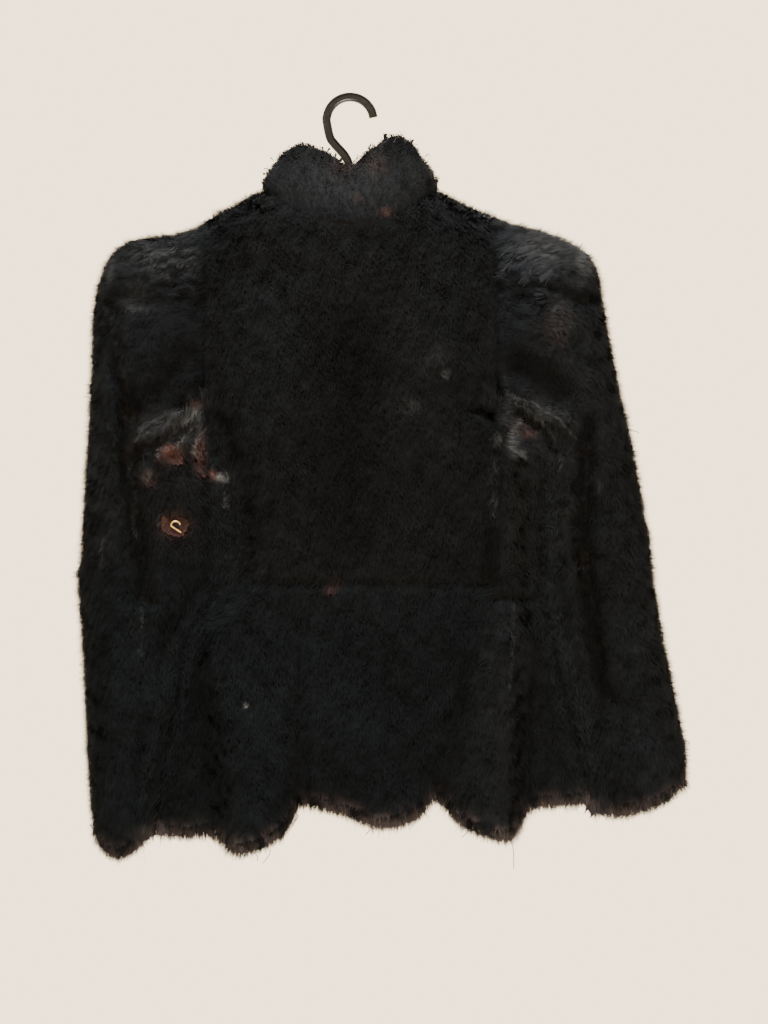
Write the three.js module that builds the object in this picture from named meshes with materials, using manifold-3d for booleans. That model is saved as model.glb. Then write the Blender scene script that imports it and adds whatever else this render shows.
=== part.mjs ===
// A short fur jacket hanging on a moulded hanger. Lengths are millimetres, +Z is up, the jacket's
// back faces -Y, and the origin is where a rail would bear, under the top of the hanger's hook.
import * as THREE from "three";
import Module from "manifold-3d";

// Driving sizes
const pile = 10; // a pelt with its standing fur, the thickness of every panel
const collarPile = 12; // the collar has fur on both faces
const seamGap = 0.3;
const armpitZ = -313;
const armhole = { left: -145, right: 147, topLeft: -123, topRight: -118, depth: 44 };
const neck = { halfWidth: 84, depth: 38, backDrop: 33, frontDrop: 50, z: -91 };
const shoulderRoll = 60; // how far below its ridge the shoulder reaches the full depth
const sideRoll = 45; // how far in from its side the body reaches the full depth
const gore = { roll: 18, depth: 18, step: 24, fromZ: -530, fullZ: -600 };
const peltSeam = { center: -485, right: -499 };
const frontOpening = 1.5; // half the gap between the two fronts
const narrowFold = 15; // folds narrower than this hardly show on a wall's inner face
const insideShare = 0.5;
const normalShare = 0.2; // of the narrow folds, in the direction that a wall's thickness is laid off
const roundness = 2.4; // of the armholes and sleeves, 2 is an ellipse
const hookCurve = { radius: 23.5, width: 8.5, depth: 6, rib: 1.7, recess: 1.5, tipAngle: 7, leftAngle: 196 };
const arm = { thickness: 8, height: 11, chamfer: 2.4, reach: 126, neckZ: -80, clearance: 2.6 };
const furHook = {
  x: -172, z: -425, radius: 4.4, height: 3.8, wire: 0.9, startAngle: 5, sweep: 190, steps: 14,
  leg: { x: 5.4, z: -7.2, steps: 4 }, sides: 8,
};

// The shoulder's ridge, from the neck to each armhole
const shoulderLine = [
  { x: -145, z: -123 }, { x: -133, z: -114 }, { x: -111, z: -103 }, { x: -84, z: -91 },
  { x: 84, z: -91 }, { x: 109, z: -102 }, { x: 131, z: -112 }, { x: 147, z: -118 },
];

// Where the body ends on each side, and where its side gore meets the back and front
const leftEdge = [
  { z: -313, side: -145, flank: -144.4 }, { z: -325, side: -143, flank: -140.5 },
  { z: -342, side: -137, flank: -134 }, { z: -388, side: -122, flank: -119 },
  { z: -458, side: -118.5, flank: -115.5 }, { z: -498, side: -136, flank: -133 },
  { z: -538, side: -159, flank: -155 }, { z: -588, side: -173, flank: -152 },
  { z: -628, side: -182, flank: -146 }, { z: -698, side: -193, flank: -140 },
  { z: -735, side: -199, flank: -135 },
];
const rightEdge = [
  { z: -313, side: 147, flank: 146.4 }, { z: -325, side: 160, flank: 157.5 },
  { z: -342, side: 175, flank: 172 }, { z: -368, side: 189, flank: 186 },
  { z: -388, side: 191, flank: 188 }, { z: -458, side: 191, flank: 188 },
  { z: -498, side: 191, flank: 188 }, { z: -538, side: 201, flank: 184 },
  { z: -588, side: 214, flank: 181 }, { z: -628, side: 227, flank: 181 },
  { z: -698, side: 240, flank: 180 }, { z: -735, side: 242, flank: 180 },
];

// Seams of the back, by height, and how deep the body is
const backSeams = [
  { z: -313, left: -50, right: 146 }, { z: -368, left: -50, right: 141.5 },
  { z: -485, left: -50, right: 136 }, { z: -500, left: -50, right: 134.8 },
  { z: -538, left: -50, right: 128.5 }, { z: -588, left: -50, right: 117 },
  { z: -628, left: -50, right: 108 }, { z: -735, left: -50, right: 84 },
];
const bodyDepth = [
  { z: -90, back: 40, front: 38 }, { z: -200, back: 46, front: 42 },
  { z: -313, back: 48, front: 44 }, { z: -485, back: 44, front: 40 },
  { z: -600, back: 46, front: 43 }, { z: -750, back: 50, front: 46 },
];

// The scalloped hem
const hemline = [
  { x: -205, z: -730 }, { x: -160, z: -735 }, { x: -138, z: -734 }, { x: -130, z: -742 },
  { x: -108, z: -747 }, { x: -84, z: -740 }, { x: -62, z: -726 }, { x: -50, z: -703 },
  { x: -26, z: -704 }, { x: 0, z: -711 }, { x: 24, z: -720 }, { x: 50, z: -719 },
  { x: 72, z: -710 }, { x: 86, z: -697 }, { x: 106, z: -717 }, { x: 130, z: -728 },
  { x: 156, z: -734 }, { x: 172, z: -726 }, { x: 181, z: -708 }, { x: 205, z: -704 },
  { x: 246, z: -700 },
];

// Sleeve sections, one a row: its outer and inner ends and half its depth
const leftSleeve = [
  { outX: -145, outZ: -123, inX: -145, inZ: -313, depth: 44 },
  { outX: -160, outZ: -129, inX: -147.5, inZ: -314.5, depth: 46 },
  { outX: -180, outZ: -135, inX: -149, inZ: -317, depth: 48 },
  { outX: -204, outZ: -138, inX: -150, inZ: -320, depth: 49 },
  { outX: -228, outZ: -145, inX: -150.3, inZ: -324, depth: 49 },
  { outX: -245, outZ: -162, inX: -150, inZ: -328, depth: 48 },
  { outX: -254, outZ: -188, inX: -148.6, inZ: -332, depth: 47 },
  { outX: -259, outZ: -222, inX: -146, inZ: -337, depth: 46 },
  { outX: -260, outZ: -262, inX: -142, inZ: -345, depth: 45 },
  { outX: -262, outZ: -300, inX: -134.9, inZ: -358, depth: 44 },
  { outX: -264, outZ: -342, inX: -126.9, inZ: -378, depth: 44 },
  { outX: -267, outZ: -382, inX: -121.4, inZ: -405, depth: 44 },
  { outX: -269, outZ: -420, inX: -119.9, inZ: -430, depth: 43 },
  { outX: -271, outZ: -448, inX: -119.9, inZ: -452, depth: 43 },
  { outX: -272, outZ: -470, inX: -123.9, inZ: -470, depth: 42 },
  { outX: -273, outZ: -498, inX: -137.9, inZ: -498, depth: 42 },
  { outX: -270, outZ: -538, inX: -160.9, inZ: -538, depth: 42 },
  { outX: -267, outZ: -590, inX: -174.9, inZ: -590, depth: 41 },
  { outX: -265, outZ: -640, inX: -184.9, inZ: -640, depth: 40 },
  { outX: -262, outZ: -690, inX: -193.4, inZ: -690, depth: 39 },
  { outX: -257, outZ: -731, inX: -200.4, inZ: -729, depth: 37 },
];
const rightSleeve = [
  { outX: 147, outZ: -118, inX: 147, inZ: -313, depth: 44 },
  { outX: 165, outZ: -124, inX: 151, inZ: -314, depth: 46 },
  { outX: 188, outZ: -130, inX: 155, inZ: -317, depth: 48 },
  { outX: 212, outZ: -139, inX: 159, inZ: -321, depth: 49 },
  { outX: 234, outZ: -151, inX: 163.5, inZ: -325.5, depth: 49 },
  { outX: 248, outZ: -168, inX: 168, inZ: -330, depth: 48 },
  { outX: 254, outZ: -198, inX: 173, inZ: -336, depth: 46 },
  { outX: 261, outZ: -238, inX: 179.5, inZ: -344, depth: 44 },
  { outX: 270, outZ: -284, inX: 186, inZ: -354, depth: 43 },
  { outX: 280, outZ: -326, inX: 190.4, inZ: -368, depth: 42 },
  { outX: 288, outZ: -366, inX: 192.1, inZ: -388, depth: 42 },
  { outX: 294, outZ: -400, inX: 192.4, inZ: -410, depth: 42 },
  { outX: 298, outZ: -428, inX: 192.4, inZ: -430, depth: 42 },
  { outX: 303, outZ: -460, inX: 192.4, inZ: -460, depth: 42 },
  { outX: 308, outZ: -498, inX: 193, inZ: -498, depth: 42 },
  { outX: 315, outZ: -538, inX: 203.5, inZ: -540, depth: 42 },
  { outX: 323, outZ: -578, inX: 214, inZ: -582, depth: 41 },
  { outX: 331, outZ: -618, inX: 227, inZ: -624, depth: 40 },
  { outX: 338, outZ: -655, inX: 237.5, inZ: -674, depth: 39 },
  { outX: 337, outZ: -682, inX: 246, inZ: -711, depth: 37 },
];
const sleeveSeamRow = { left: 14, right: 12 }; // where the lower sleeve's pelt begins
const lowerFlare = 2.5; // how far the lower pelt stands outside the upper one
const cuffSag = { left: 23, right: 10 };
const cuffSagShare = 0.45; // of the row above the cuff
const frontHemLift = 5; // the front's hem follows the back's, lifted
const frontFolds = { body: 0.8, sleeve: 0.75, sleeveDrop: 14, inside: 0.7 };

// Folds seen from the back: a soft ridge, or a trough where its height is below zero, between two
// places. grow is its share at the first place.
const bodyFolds = [
  { name: "left flute", x1: -98, z1: -500, x2: -95, z2: -760, width: 27, height: 10, grow: 0 },
  { name: "left crease", x1: -49, z1: -520, x2: -50, z2: -720, width: 9, height: -9, grow: 0.2 },
  { name: "centre lobe", x1: 5, z1: -600, x2: 28, z2: -730, width: 30, height: 7, grow: 0 },
  { name: "right valley", x1: 130, z1: -520, x2: 86, z2: -710, width: 10, height: -10, grow: 0.2 },
  { name: "right flute", x1: 158, z1: -505, x2: 142, z2: -750, width: 24, height: 11, grow: 0.3 },
  { name: "waist panel", x1: 166, z1: -370, x2: 165, z2: -480, width: 18, height: 6, grow: 0.5 },
  { name: "waist panel edge", x1: 144, z1: -350, x2: 138, z2: -485, width: 7, height: -6, grow: 0.3 },
  { name: "left armpit drag", x1: -140, z1: -325, x2: -108, z2: -470, width: 12, height: -6, grow: 1 },
  { name: "left shoulder blade", x1: -80, z1: -210, x2: -75, z2: -330, width: 30, height: 4, grow: 1 },
  { name: "right shoulder blade", x1: 85, z1: -210, x2: 75, z2: -340, width: 32, height: 4, grow: 1 },
  { name: "back hollow", x1: 5, z1: -240, x2: 0, z2: -450, width: 28, height: -4, grow: 1 },
  { name: "waist seam", x1: -102, z1: -485, x2: 136, z2: -485, width: 6, height: -3.5, grow: 1 },
  { name: "right waist seam", x1: 144, z1: -499, x2: 176, z2: -499, width: 6, height: -4, grow: 1 },
];
const sleeveFolds = [
  { name: "left long crease a", x1: -245, z1: -205, x2: -217, z2: -312, width: 9, height: -8, grow: 0.4 },
  { name: "left long crease b", x1: -217, z1: -312, x2: -219, z2: -365, width: 9, height: -9, grow: 1 },
  { name: "left long crease c", x1: -219, z1: -365, x2: -202, z2: -500, width: 9, height: -7, grow: 1 },
  { name: "left outer swell", x1: -242, z1: -280, x2: -245, z2: -450, width: 14, height: 3, grow: 1 },
  { name: "left drag a", x1: -153, z1: -316, x2: -212, z2: -338, width: 7, height: 6, grow: 0.7 },
  { name: "left drag hollow", x1: -156, z1: -330, x2: -205, z2: -352, width: 6, height: -5, grow: 0.7 },
  { name: "left drag b", x1: -152, z1: -342, x2: -210, z2: -368, width: 8, height: 5, grow: 0.6 },
  { name: "left arm hollow", x1: -160, z1: -255, x2: -200, z2: -300, width: 16, height: -5, grow: 1 },
  { name: "left under puff", x1: -146, z1: -198, x2: -232, z2: -204, width: 9, height: -6, grow: 0.6 },
  { name: "left low swell", x1: -222, z1: -520, x2: -226, z2: -740, width: 18, height: 4, grow: 0.4 },
  { name: "right long crease a", x1: 234, z1: -325, x2: 233, z2: -458, width: 9, height: -8, grow: 1 },
  { name: "right long crease b", x1: 233, z1: -458, x2: 253, z2: -600, width: 9, height: -8, grow: 1 },
  { name: "right drag a", x1: 155, z1: -300, x2: 226, z2: -326, width: 7, height: 6, grow: 0.6 },
  { name: "right tuft", x1: 168, z1: -330, x2: 182, z2: -334, width: 9, height: 6, grow: 1 },
  { name: "right arm hollow", x1: 170, z1: -262, x2: 206, z2: -292, width: 15, height: -8, grow: 1 },
  { name: "right under puff", x1: 150, z1: -194, x2: 238, z2: -200, width: 9, height: -8, grow: 0.6 },
  { name: "right low swell", x1: 290, z1: -470, x2: 306, z2: -690, width: 22, height: 4, grow: 0.5 },
  { name: "right band", x1: 212, z1: -370, x2: 216, z2: -560, width: 12, height: 4, grow: 1 },
];

// Gathers of each sleeve head run outward from the armhole, one below the other
const gathers = {
  count: 5, firstZ: -142, spacing: 13, drop: 8, width: 4.6, height: 6,
  left: { x1: -149, x2: -222, taper: 5 },
  right: { x1: 151, x2: 228, taper: 5 },
};

// Tears, where the fur is gone and the leather lies lower
const tearSlope = 0.75;
const tears = [
  { x: -177, z: -358, radius: 10, height: -6 },
  { x: -147, z: -366, radius: 8, height: -6 },
  { x: -196, z: -383, radius: 7, height: -4 },
  { x: -172, z: -425, radius: 14, height: -7 },
];

// The collar by the angle from its middle back: how high it stands and how far it leans in
const collarTop = [
  { angle: -176, z: -116 }, { angle: -120, z: -92 }, { angle: -82, z: -60 }, { angle: -48, z: -50 },
  { angle: -32, z: -47 }, { angle: 0, z: -71 }, { angle: 32, z: -41 }, { angle: 46, z: -43 },
  { angle: 82, z: -60 }, { angle: 120, z: -92 }, { angle: 176, z: -114 },
];
const collarLean = 15;
const collarBulge = 4;
const collarGap = { back: 0.5, front: 1.2 };
const collarFrontEnd = 176; // degrees from the middle back

// Mesh density, and how far a panel's columns crowd towards its edges
const edgeCrowding = 0.45;
const density = { backColumns: 20, sleevePoints: 56, cuffPoints: 32, collarColumns: 40, collarRows: 5 };

const clamp01 = (t) => Math.min(1, Math.max(0, t));
const mix = (a, b, t) => a + (b - a) * t;
const smooth = (t) => clamp01(t) ** 2 * (3 - 2 * clamp01(t));
const radians = THREE.MathUtils.degToRad;

// A smooth curve through a table's rows: the column named value at a place in the column named key
function read(table, key, value, at) {
  const up = table[0][key] < table[1][key] ? 1 : -1;
  const last = table.length - 1;
  if ((at - table[0][key]) * up <= 0) return table[0][value];
  if ((at - table[last][key]) * up >= 0) return table[last][value];
  let i = 0;
  while ((at - table[i + 1][key]) * up > 0) i += 1;
  const slope = (a, b) => (table[b][value] - table[a][value]) / (table[b][key] - table[a][key]);
  const before = slope(Math.max(i - 1, 0), i + 1);
  const after = slope(i, Math.min(i + 2, last));
  const span = table[i + 1][key] - table[i][key];
  const t = (at - table[i][key]) / span;
  return (2 * t ** 3 - 3 * t ** 2 + 1) * table[i][value] + (t ** 3 - 2 * t ** 2 + t) * span * before
    + (3 * t ** 2 - 2 * t ** 3) * table[i + 1][value] + (t ** 3 - t ** 2) * span * after;
}

// A quarter round: 0 at an edge, 1 once radius in from it
const roll = (distance, radius) => Math.sqrt(1 - (1 - clamp01(distance / radius)) ** 2);

// What a list of folds adds at a place, with only a share of the narrow ones where that is given
function foldsAt(folds, x, z, narrowShare = 1) {
  let sum = 0;
  for (const f of folds) {
    const dx = f.x2 - f.x1;
    const dz = f.z2 - f.z1;
    const t = clamp01(((x - f.x1) * dx + (z - f.z1) * dz) / (dx * dx + dz * dz));
    const away = ((x - f.x1 - t * dx) ** 2 + (z - f.z1 - t * dz) ** 2) / f.width ** 2;
    const share = f.width < narrowFold ? narrowShare : 1;
    if (away < 6) sum += f.height * share * mix(f.grow, 1, t) * Math.exp(-away);
  }
  return sum;
}

// The body: how far its back and front lie from the hanger's plane
const topOf = (x, drop) => (Math.abs(x) >= neck.halfWidth
  ? read(shoulderLine, "x", "z", x)
  : neck.z - drop * (1 - (x / neck.halfWidth) ** 2));
const edgeOf = (x) => (x < 0 ? leftEdge : rightEdge);
const sideAt = (x, z) => read(edgeOf(x), "z", "side", z);
const flankAt = (x, z) => read(edgeOf(x), "z", "flank", z);

// Half the depth of an armhole at a height, which a sleeve's first section has too
function armholeDepth(x, z) {
  const top = x < 0 ? armhole.topLeft : armhole.topRight;
  const t = Math.abs((z - (top + armpitZ) / 2) / ((top - armpitZ) / 2));
  return t >= 1 ? 0 : armhole.depth * (1 - t ** roundness) ** (1 / roundness);
}

// How far the gore's hollow beside the sleeve has formed at a height. The front has none.
const goreShareAt = (z) => smooth((z - gore.fromZ) / (gore.fullZ - gore.fromZ));

function bodyDepthAt(x, z, face, narrowShare = 1) {
  const back = face === "back";
  const depth = read(bodyDepth, "z", face, z);
  const top = topOf(x, back ? neck.backDrop : neck.frontDrop);
  const neckDepth = neck.depth * Math.sqrt(Math.max(0, 1 - (x / neck.halfWidth) ** 2));
  const shoulder = roll(top - z, shoulderRoll);
  const inset = Math.abs(sideAt(x, z)) - Math.abs(x);
  const goreShare = back ? goreShareAt(z) : 0;
  const sideRound = roll(inset, mix(sideRoll, gore.roll, goreShare));
  const folds = back
    ? foldsAt(bodyFolds, x, z, narrowShare)
    : frontFolds.body * foldsAt(bodyFolds, -x, z, narrowShare);
  const full = mix(neckDepth, depth + folds, shoulder);
  const pastFlank = smooth((Math.abs(flankAt(x, z)) - Math.abs(x)) / gore.step);
  const stepped = mix(full, mix(gore.depth, full, pastFlank), goreShare);
  return mix(armholeDepth(x, z), stepped, sideRound);
}

// A place on the body by its turn from the side's edge: below zero on the back, above on the front
const turnRadius = (z, back) => (back ? mix(sideRoll, gore.roll, goreShareAt(z)) : sideRoll);
function insetOf(turn, z) {
  const r = turnRadius(z, turn < 0);
  const a = Math.abs(turn);
  return a < Math.PI / 2 ? r * (1 - Math.cos(a)) : r * (1 + a - Math.PI / 2);
}
function turnOf(inset, z, back) {
  const r = turnRadius(z, back);
  return inset < r ? Math.acos(1 - Math.max(0, inset) / r) : Math.PI / 2 + inset / r - 1;
}
function bodyPoint(hand, turn, z, narrowShare = 1) {
  const x = sideAt(hand, z) - hand * insetOf(turn, z);
  const y = turn < 0 ? -bodyDepthAt(x, z, "back", narrowShare) : bodyDepthAt(x, z, "front", narrowShare);
  return new THREE.Vector3(x, y, z);
}
function bodyNormal(hand, turn, z) {
  const step = 0.14; // of the turn, in radians
  const rise = 6;
  const open = z > armpitZ;
  const past = open && turn < 0 ? Math.min(turn + step, 0) : turn + step;
  const short = open && turn > 0 ? Math.max(turn - step, 0) : turn - step;
  const at = (t, height) => bodyPoint(hand, t, height, normalShare);
  const across = at(past, z).sub(at(short, z));
  const down = at(turn, z - rise).sub(at(turn, z + rise));
  return across.cross(down).normalize().multiplyScalar(-hand);
}

// A closed wall between an outer grid and an inner one, which has every second column
function wallMesh(outer, inner, closed) {
  const rows = outer.length;
  const wide = outer[0].length;
  const thin = inner[0].length;
  const points = [...outer.flat(), ...inner.flat()];
  const o = (j, i) => j * wide + (i % wide);
  const n = (j, i) => rows * wide + j * thin + (i % thin);
  const faces = [];
  const outerSpans = closed ? wide : wide - 1;
  const innerSpans = closed ? thin : thin - 1;
  for (let j = 0; j < rows - 1; j += 1) {
    for (let i = 0; i < outerSpans; i += 1) {
      faces.push(o(j, i), o(j, i + 1), o(j + 1, i + 1), o(j, i), o(j + 1, i + 1), o(j + 1, i));
    }
    for (let i = 0; i < innerSpans; i += 1) {
      faces.push(n(j, i), n(j + 1, i + 1), n(j, i + 1), n(j, i), n(j + 1, i), n(j + 1, i + 1));
    }
    if (!closed) {
      const e = wide - 1;
      const f = thin - 1;
      faces.push(o(j, 0), o(j + 1, 0), n(j + 1, 0), o(j, 0), n(j + 1, 0), n(j, 0));
      faces.push(o(j + 1, e), o(j, e), n(j + 1, f), o(j, e), n(j, f), n(j + 1, f));
    }
  }
  const end = rows - 1;
  for (let i = 0; i < innerSpans; i += 1) {
    const k = 2 * i;
    faces.push(o(0, k + 1), o(0, k), n(0, i), o(0, k + 2), o(0, k + 1), n(0, i + 1));
    faces.push(o(0, k + 1), n(0, i), n(0, i + 1));
    faces.push(o(end, k), o(end, k + 1), n(end, i), o(end, k + 1), o(end, k + 2), n(end, i + 1));
    faces.push(o(end, k + 1), n(end, i + 1), n(end, i));
  }
  return solidMesh(points, faces);
}

// A geometry from points and faces, its faces turned to point out
function solidMesh(points, faces) {
  let volume = 0;
  for (let i = 0; i < faces.length; i += 3) {
    const [a, b, c] = [points[faces[i]], points[faces[i + 1]], points[faces[i + 2]]];
    volume += a.dot(b.clone().cross(c));
  }
  const turned = volume < 0 ? [...faces].reverse() : faces;
  const geometry = new THREE.BufferGeometry();
  const places = points.flatMap((p) => [p.x, p.y, p.z]);
  geometry.setAttribute("position", new THREE.Float32BufferAttribute(places, 3));
  geometry.setIndex(turned);
  geometry.computeVertexNormals();
  return geometry;
}

// One body panel. xRange(z) gives its two edges and zOf(row, x) its heights. ridgeTop stands its
// top edge upright at the shoulder, and levelTop and levelEnd keep an end level at a pelt seam.
function bodyPanel({ face, columns, rows, xRange, zOf, ridgeTop, levelTop, levelEnd }) {
  const outer = [];
  const inner = [];
  for (let j = 0; j <= rows; j += 1) {
    const outerRow = [];
    const innerRow = [];
    for (let i = 0; i <= columns; i += 1) {
      const share = 0.5 - 0.5 * Math.cos((Math.PI * i) / columns);
      const across = mix(i / columns, share, edgeCrowding);
      let z = zOf(j, 0);
      let x = 0;
      for (let k = 0; k < 4; k += 1) {
        const [from, to] = xRange(z);
        x = mix(from, to, across);
        z = zOf(j, x);
      }
      const sign = face === "back" ? -1 : 1;
      const p = new THREE.Vector3(x, sign * bodyDepthAt(x, z, face), z);
      if (j === 0 && ridgeTop) p.y += sign * seamGap * 0.5;
      outerRow.push(p);
      if (i % 2) continue;
      const hand = Math.sign(x) || 1;
      const turn = sign * turnOf(Math.abs(sideAt(x, z)) - Math.abs(x), z, face === "back");
      const inward = bodyPoint(hand, turn, z, insideShare);
      inward.addScaledVector(bodyNormal(hand, turn, z), -pile);
      if (j === 0 && ridgeTop) inward.set(p.x, p.y, p.z - pile);
      else if ((j === 0 && levelTop) || (j === rows && levelEnd)) inward.z = p.z;
      const atArmhole = z > armpitZ - 1 && (i === 0 || i === columns) && Math.abs(x) > neck.halfWidth;
      if (atArmhole) inward.x = p.x;
      innerRow.push(inward);
    }
    outer.push(outerRow);
    inner.push(innerRow);
  }
  return wallMesh(outer, inner, false);
}

// Rows of the upper body: round the shoulder first, then down to a level
const shoulderSteps = 5;
const upperLevels = [
  -204, -226, -248, -268, -284, -297, -306, -312.4, -316, -325, -342, -364, -388, -412, -436, -460, -485,
];
function upperZ(row, x, drop) {
  const top = topOf(x, drop);
  if (row <= shoulderSteps) {
    return top - shoulderRoll * (1 - Math.cos((row / shoulderSteps) * (Math.PI / 2)));
  }
  return upperLevels[row - shoulderSteps - 1];
}
const halfGap = seamGap / 2;
const lowerRows = 12;
const lowerZ = (row, rows, top, x) => mix(top, read(hemline, "x", "z", x), row / rows);
const frontHemAt = (x) => read(hemline, "x", "z", x) + frontHemLift;
const frontLowerZ = (row, rows, top, x) => mix(top, frontHemAt(x), row / rows);

const seamAt = (name, z) => read(backSeams, "z", name, z);
const armholeX = { left: armhole.left + halfGap, right: armhole.right - halfGap };
const leftLimit = (z) => (z >= armpitZ ? armholeX.left : flankAt(-1, z) + halfGap);
const rightLimit = (z) => (z >= armpitZ ? armholeX.right : seamAt("right", z) - halfGap);
const upperRowsTo = (level) => shoulderSteps + 1 + upperLevels.indexOf(level);

function backUpper() {
  const rows = upperRowsTo(peltSeam.center);
  return bodyPanel({
    face: "back",
    columns: density.backColumns,
    rows,
    xRange: (z) => [leftLimit(z), rightLimit(z)],
    zOf: (row, x) => (row === rows ? peltSeam.center + halfGap : upperZ(row, x, neck.backDrop)),
    ridgeTop: true,
    levelEnd: true,
  });
}

function backSideRight() {
  const levels = [-316, ...upperLevels.filter((z) => z < -320), peltSeam.right + halfGap];
  return bodyPanel({
    face: "back",
    columns: 6,
    rows: levels.length - 1,
    xRange: (z) => [seamAt("right", z) + halfGap, flankAt(1, z) - halfGap],
    zOf: (row) => levels[row],
    levelEnd: true,
  });
}

// Lower panels share their rows below the pelt seam, so that their edges agree
function backLower(from, to, top, columns) {
  const ease = top - peltSeam.center;
  return bodyPanel({
    face: "back",
    columns,
    rows: lowerRows,
    xRange: (z) => [from(z) + halfGap, to(z) - halfGap],
    zOf: (row, x) => Math.min(top, lowerZ(row, lowerRows, peltSeam.center, x) + (row ? 0 : ease)),
    levelTop: true,
  });
}

function frontPanel(hand) {
  const hemRows = lowerRows;
  const upper = upperRowsTo(peltSeam.center);
  const outerEdge = (z) => {
    if (z >= armpitZ) return hand < 0 ? armholeX.left : armholeX.right;
    return flankAt(hand, z) - hand * halfGap;
  };
  const inner = hand * frontOpening;
  return bodyPanel({
    face: "front",
    columns: 8,
    rows: upper + hemRows,
    xRange: (z) => (hand < 0 ? [outerEdge(z), inner] : [inner, outerEdge(z)]),
    zOf: (row, x) => (row <= upper
      ? upperZ(row, x, neck.frontDrop)
      : frontLowerZ(row - upper, hemRows, peltSeam.center, x)),
    ridgeTop: true,
  });
}

// A gore that wraps each side from the armpit to the hem
function sideGore(hand) {
  const levels = [armpitZ - seamGap, ...upperLevels.filter((z) => z < armpitZ)];
  const columns = 8;
  const outer = [];
  const inner = [];
  for (let j = 0; j < levels.length + lowerRows; j += 1) {
    const outerRow = [];
    const innerRow = [];
    for (let i = 0; i <= columns; i += 1) {
      let z = levels[Math.min(j, levels.length - 1)];
      let turn = 0;
      for (let k = 0; k < 4; k += 1) {
        const width = Math.abs(sideAt(hand, z)) - Math.abs(flankAt(hand, z)) - seamGap;
        const part = i / columns * 2 - 1;
        turn = part * turnOf(width, z, part < 0);
        const x = sideAt(hand, z) - hand * insetOf(turn, z);
        const row = j - levels.length + 1;
        if (row > 0) {
          const hem = turn < 0 ? lowerZ : frontLowerZ;
          const level = hem(row, lowerRows, peltSeam.center, x);
          const edge = lowerZ(row, lowerRows, peltSeam.center, x);
          z = turn < 0 ? level : mix(edge, level, smooth(part));
        }
      }
      const p = bodyPoint(hand, turn, z);
      outerRow.push(p);
      if (i % 2) continue;
      const inward = bodyPoint(hand, turn, z, insideShare);
      inward.addScaledVector(bodyNormal(hand, turn, z), -pile);
      if (j === 0) inward.z = p.z;
      innerRow.push(inward);
    }
    outer.push(outerRow);
    inner.push(innerRow);
  }
  return wallMesh(outer, inner, false);
}

// Gathers and tears as folds
const gatherFolds = [-1, 1].flatMap((hand) => {
  const side = hand < 0 ? gathers.left : gathers.right;
  return Array.from({ length: gathers.count }, (_, i) => {
    const z = gathers.firstZ - gathers.spacing * i;
    return {
      x1: side.x1, z1: z, x2: side.x2 - hand * side.taper * i, z2: z - gathers.drop * (1 - i / gathers.count),
      width: gathers.width, height: gathers.height, grow: 1,
    };
  });
});
const tearFolds = tears.map((t) => ({
  x1: t.x, z1: t.z, x2: t.x + 1, z2: t.z, width: t.radius * tearSlope, height: t.height, grow: 1,
}));
const smallFolds = [...gatherFolds, ...tearFolds];

// A sleeve section's points, from its outer end round the back to its inner end and round the front
function sleeveSection(row, count, wall, sag, small) {
  const outer = new THREE.Vector3(row.outX, 0, row.outZ);
  const along = new THREE.Vector3(row.inX, 0, row.inZ).sub(outer);
  const half = along.length() / 2;
  along.normalize();
  const middle = outer.clone().addScaledVector(along, half);
  const points = [];
  for (let i = 0; i < count; i += 1) {
    const even = (2 * Math.PI * i) / count;
    // closer where the head is gathered
    const angle = even - 0.25 * Math.sin(even) + 0.22 * Math.sin(2 * even);
    const c = Math.cos(angle);
    const s = Math.sin(angle);
    const reach = -Math.sign(c) * Math.abs(c) ** (2 / roundness) * (half - wall);
    const depth = Math.abs(s) ** (2 / roundness);
    const p = middle.clone().addScaledVector(along, reach);
    const back = s > 0;
    const shift = back ? 0 : frontFolds.sleeveDrop;
    const folds = foldsAt(sleeveFolds, p.x, p.z - shift) + (small ? foldsAt(smallFolds, p.x, p.z) : 0);
    const raised = folds * depth * (back ? 1 : frontFolds.sleeve);
    p.y = (back ? -1 : 1) * (depth * (row.depth - wall) + raised * (small ? 1 : frontFolds.inside));
    p.z -= sag * s * s;
    points.push(p);
  }
  return points;
}

function sleevePart(rows, count, sag) {
  const outer = [];
  const inner = [];
  rows.forEach((row, j) => {
    const above = j === rows.length - 2 ? sag * cuffSagShare : 0;
    const drop = j === rows.length - 1 ? sag : above;
    outer.push(sleeveSection(row, count, 0, drop, true));
    inner.push(sleeveSection(row, count / 2, pile, drop, false));
  });
  return wallMesh(outer, inner, true);
}

function sleeve(table, hand, seam, sag) {
  const upper = table.slice(0, seam + 1).map((row) => ({ ...row }));
  upper[0].outX += hand * halfGap;
  upper[0].inX += hand * halfGap;
  const lower = table.slice(seam).map((row) => ({ ...row }));
  lower[0].outX += hand * lowerFlare;
  lower[0].outZ -= seamGap;
  lower[0].inZ -= seamGap;
  lower[0].depth += lowerFlare;
  return [sleevePart(upper, density.sleevePoints, 0), sleevePart(lower, density.cuffPoints, sag)];
}

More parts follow.
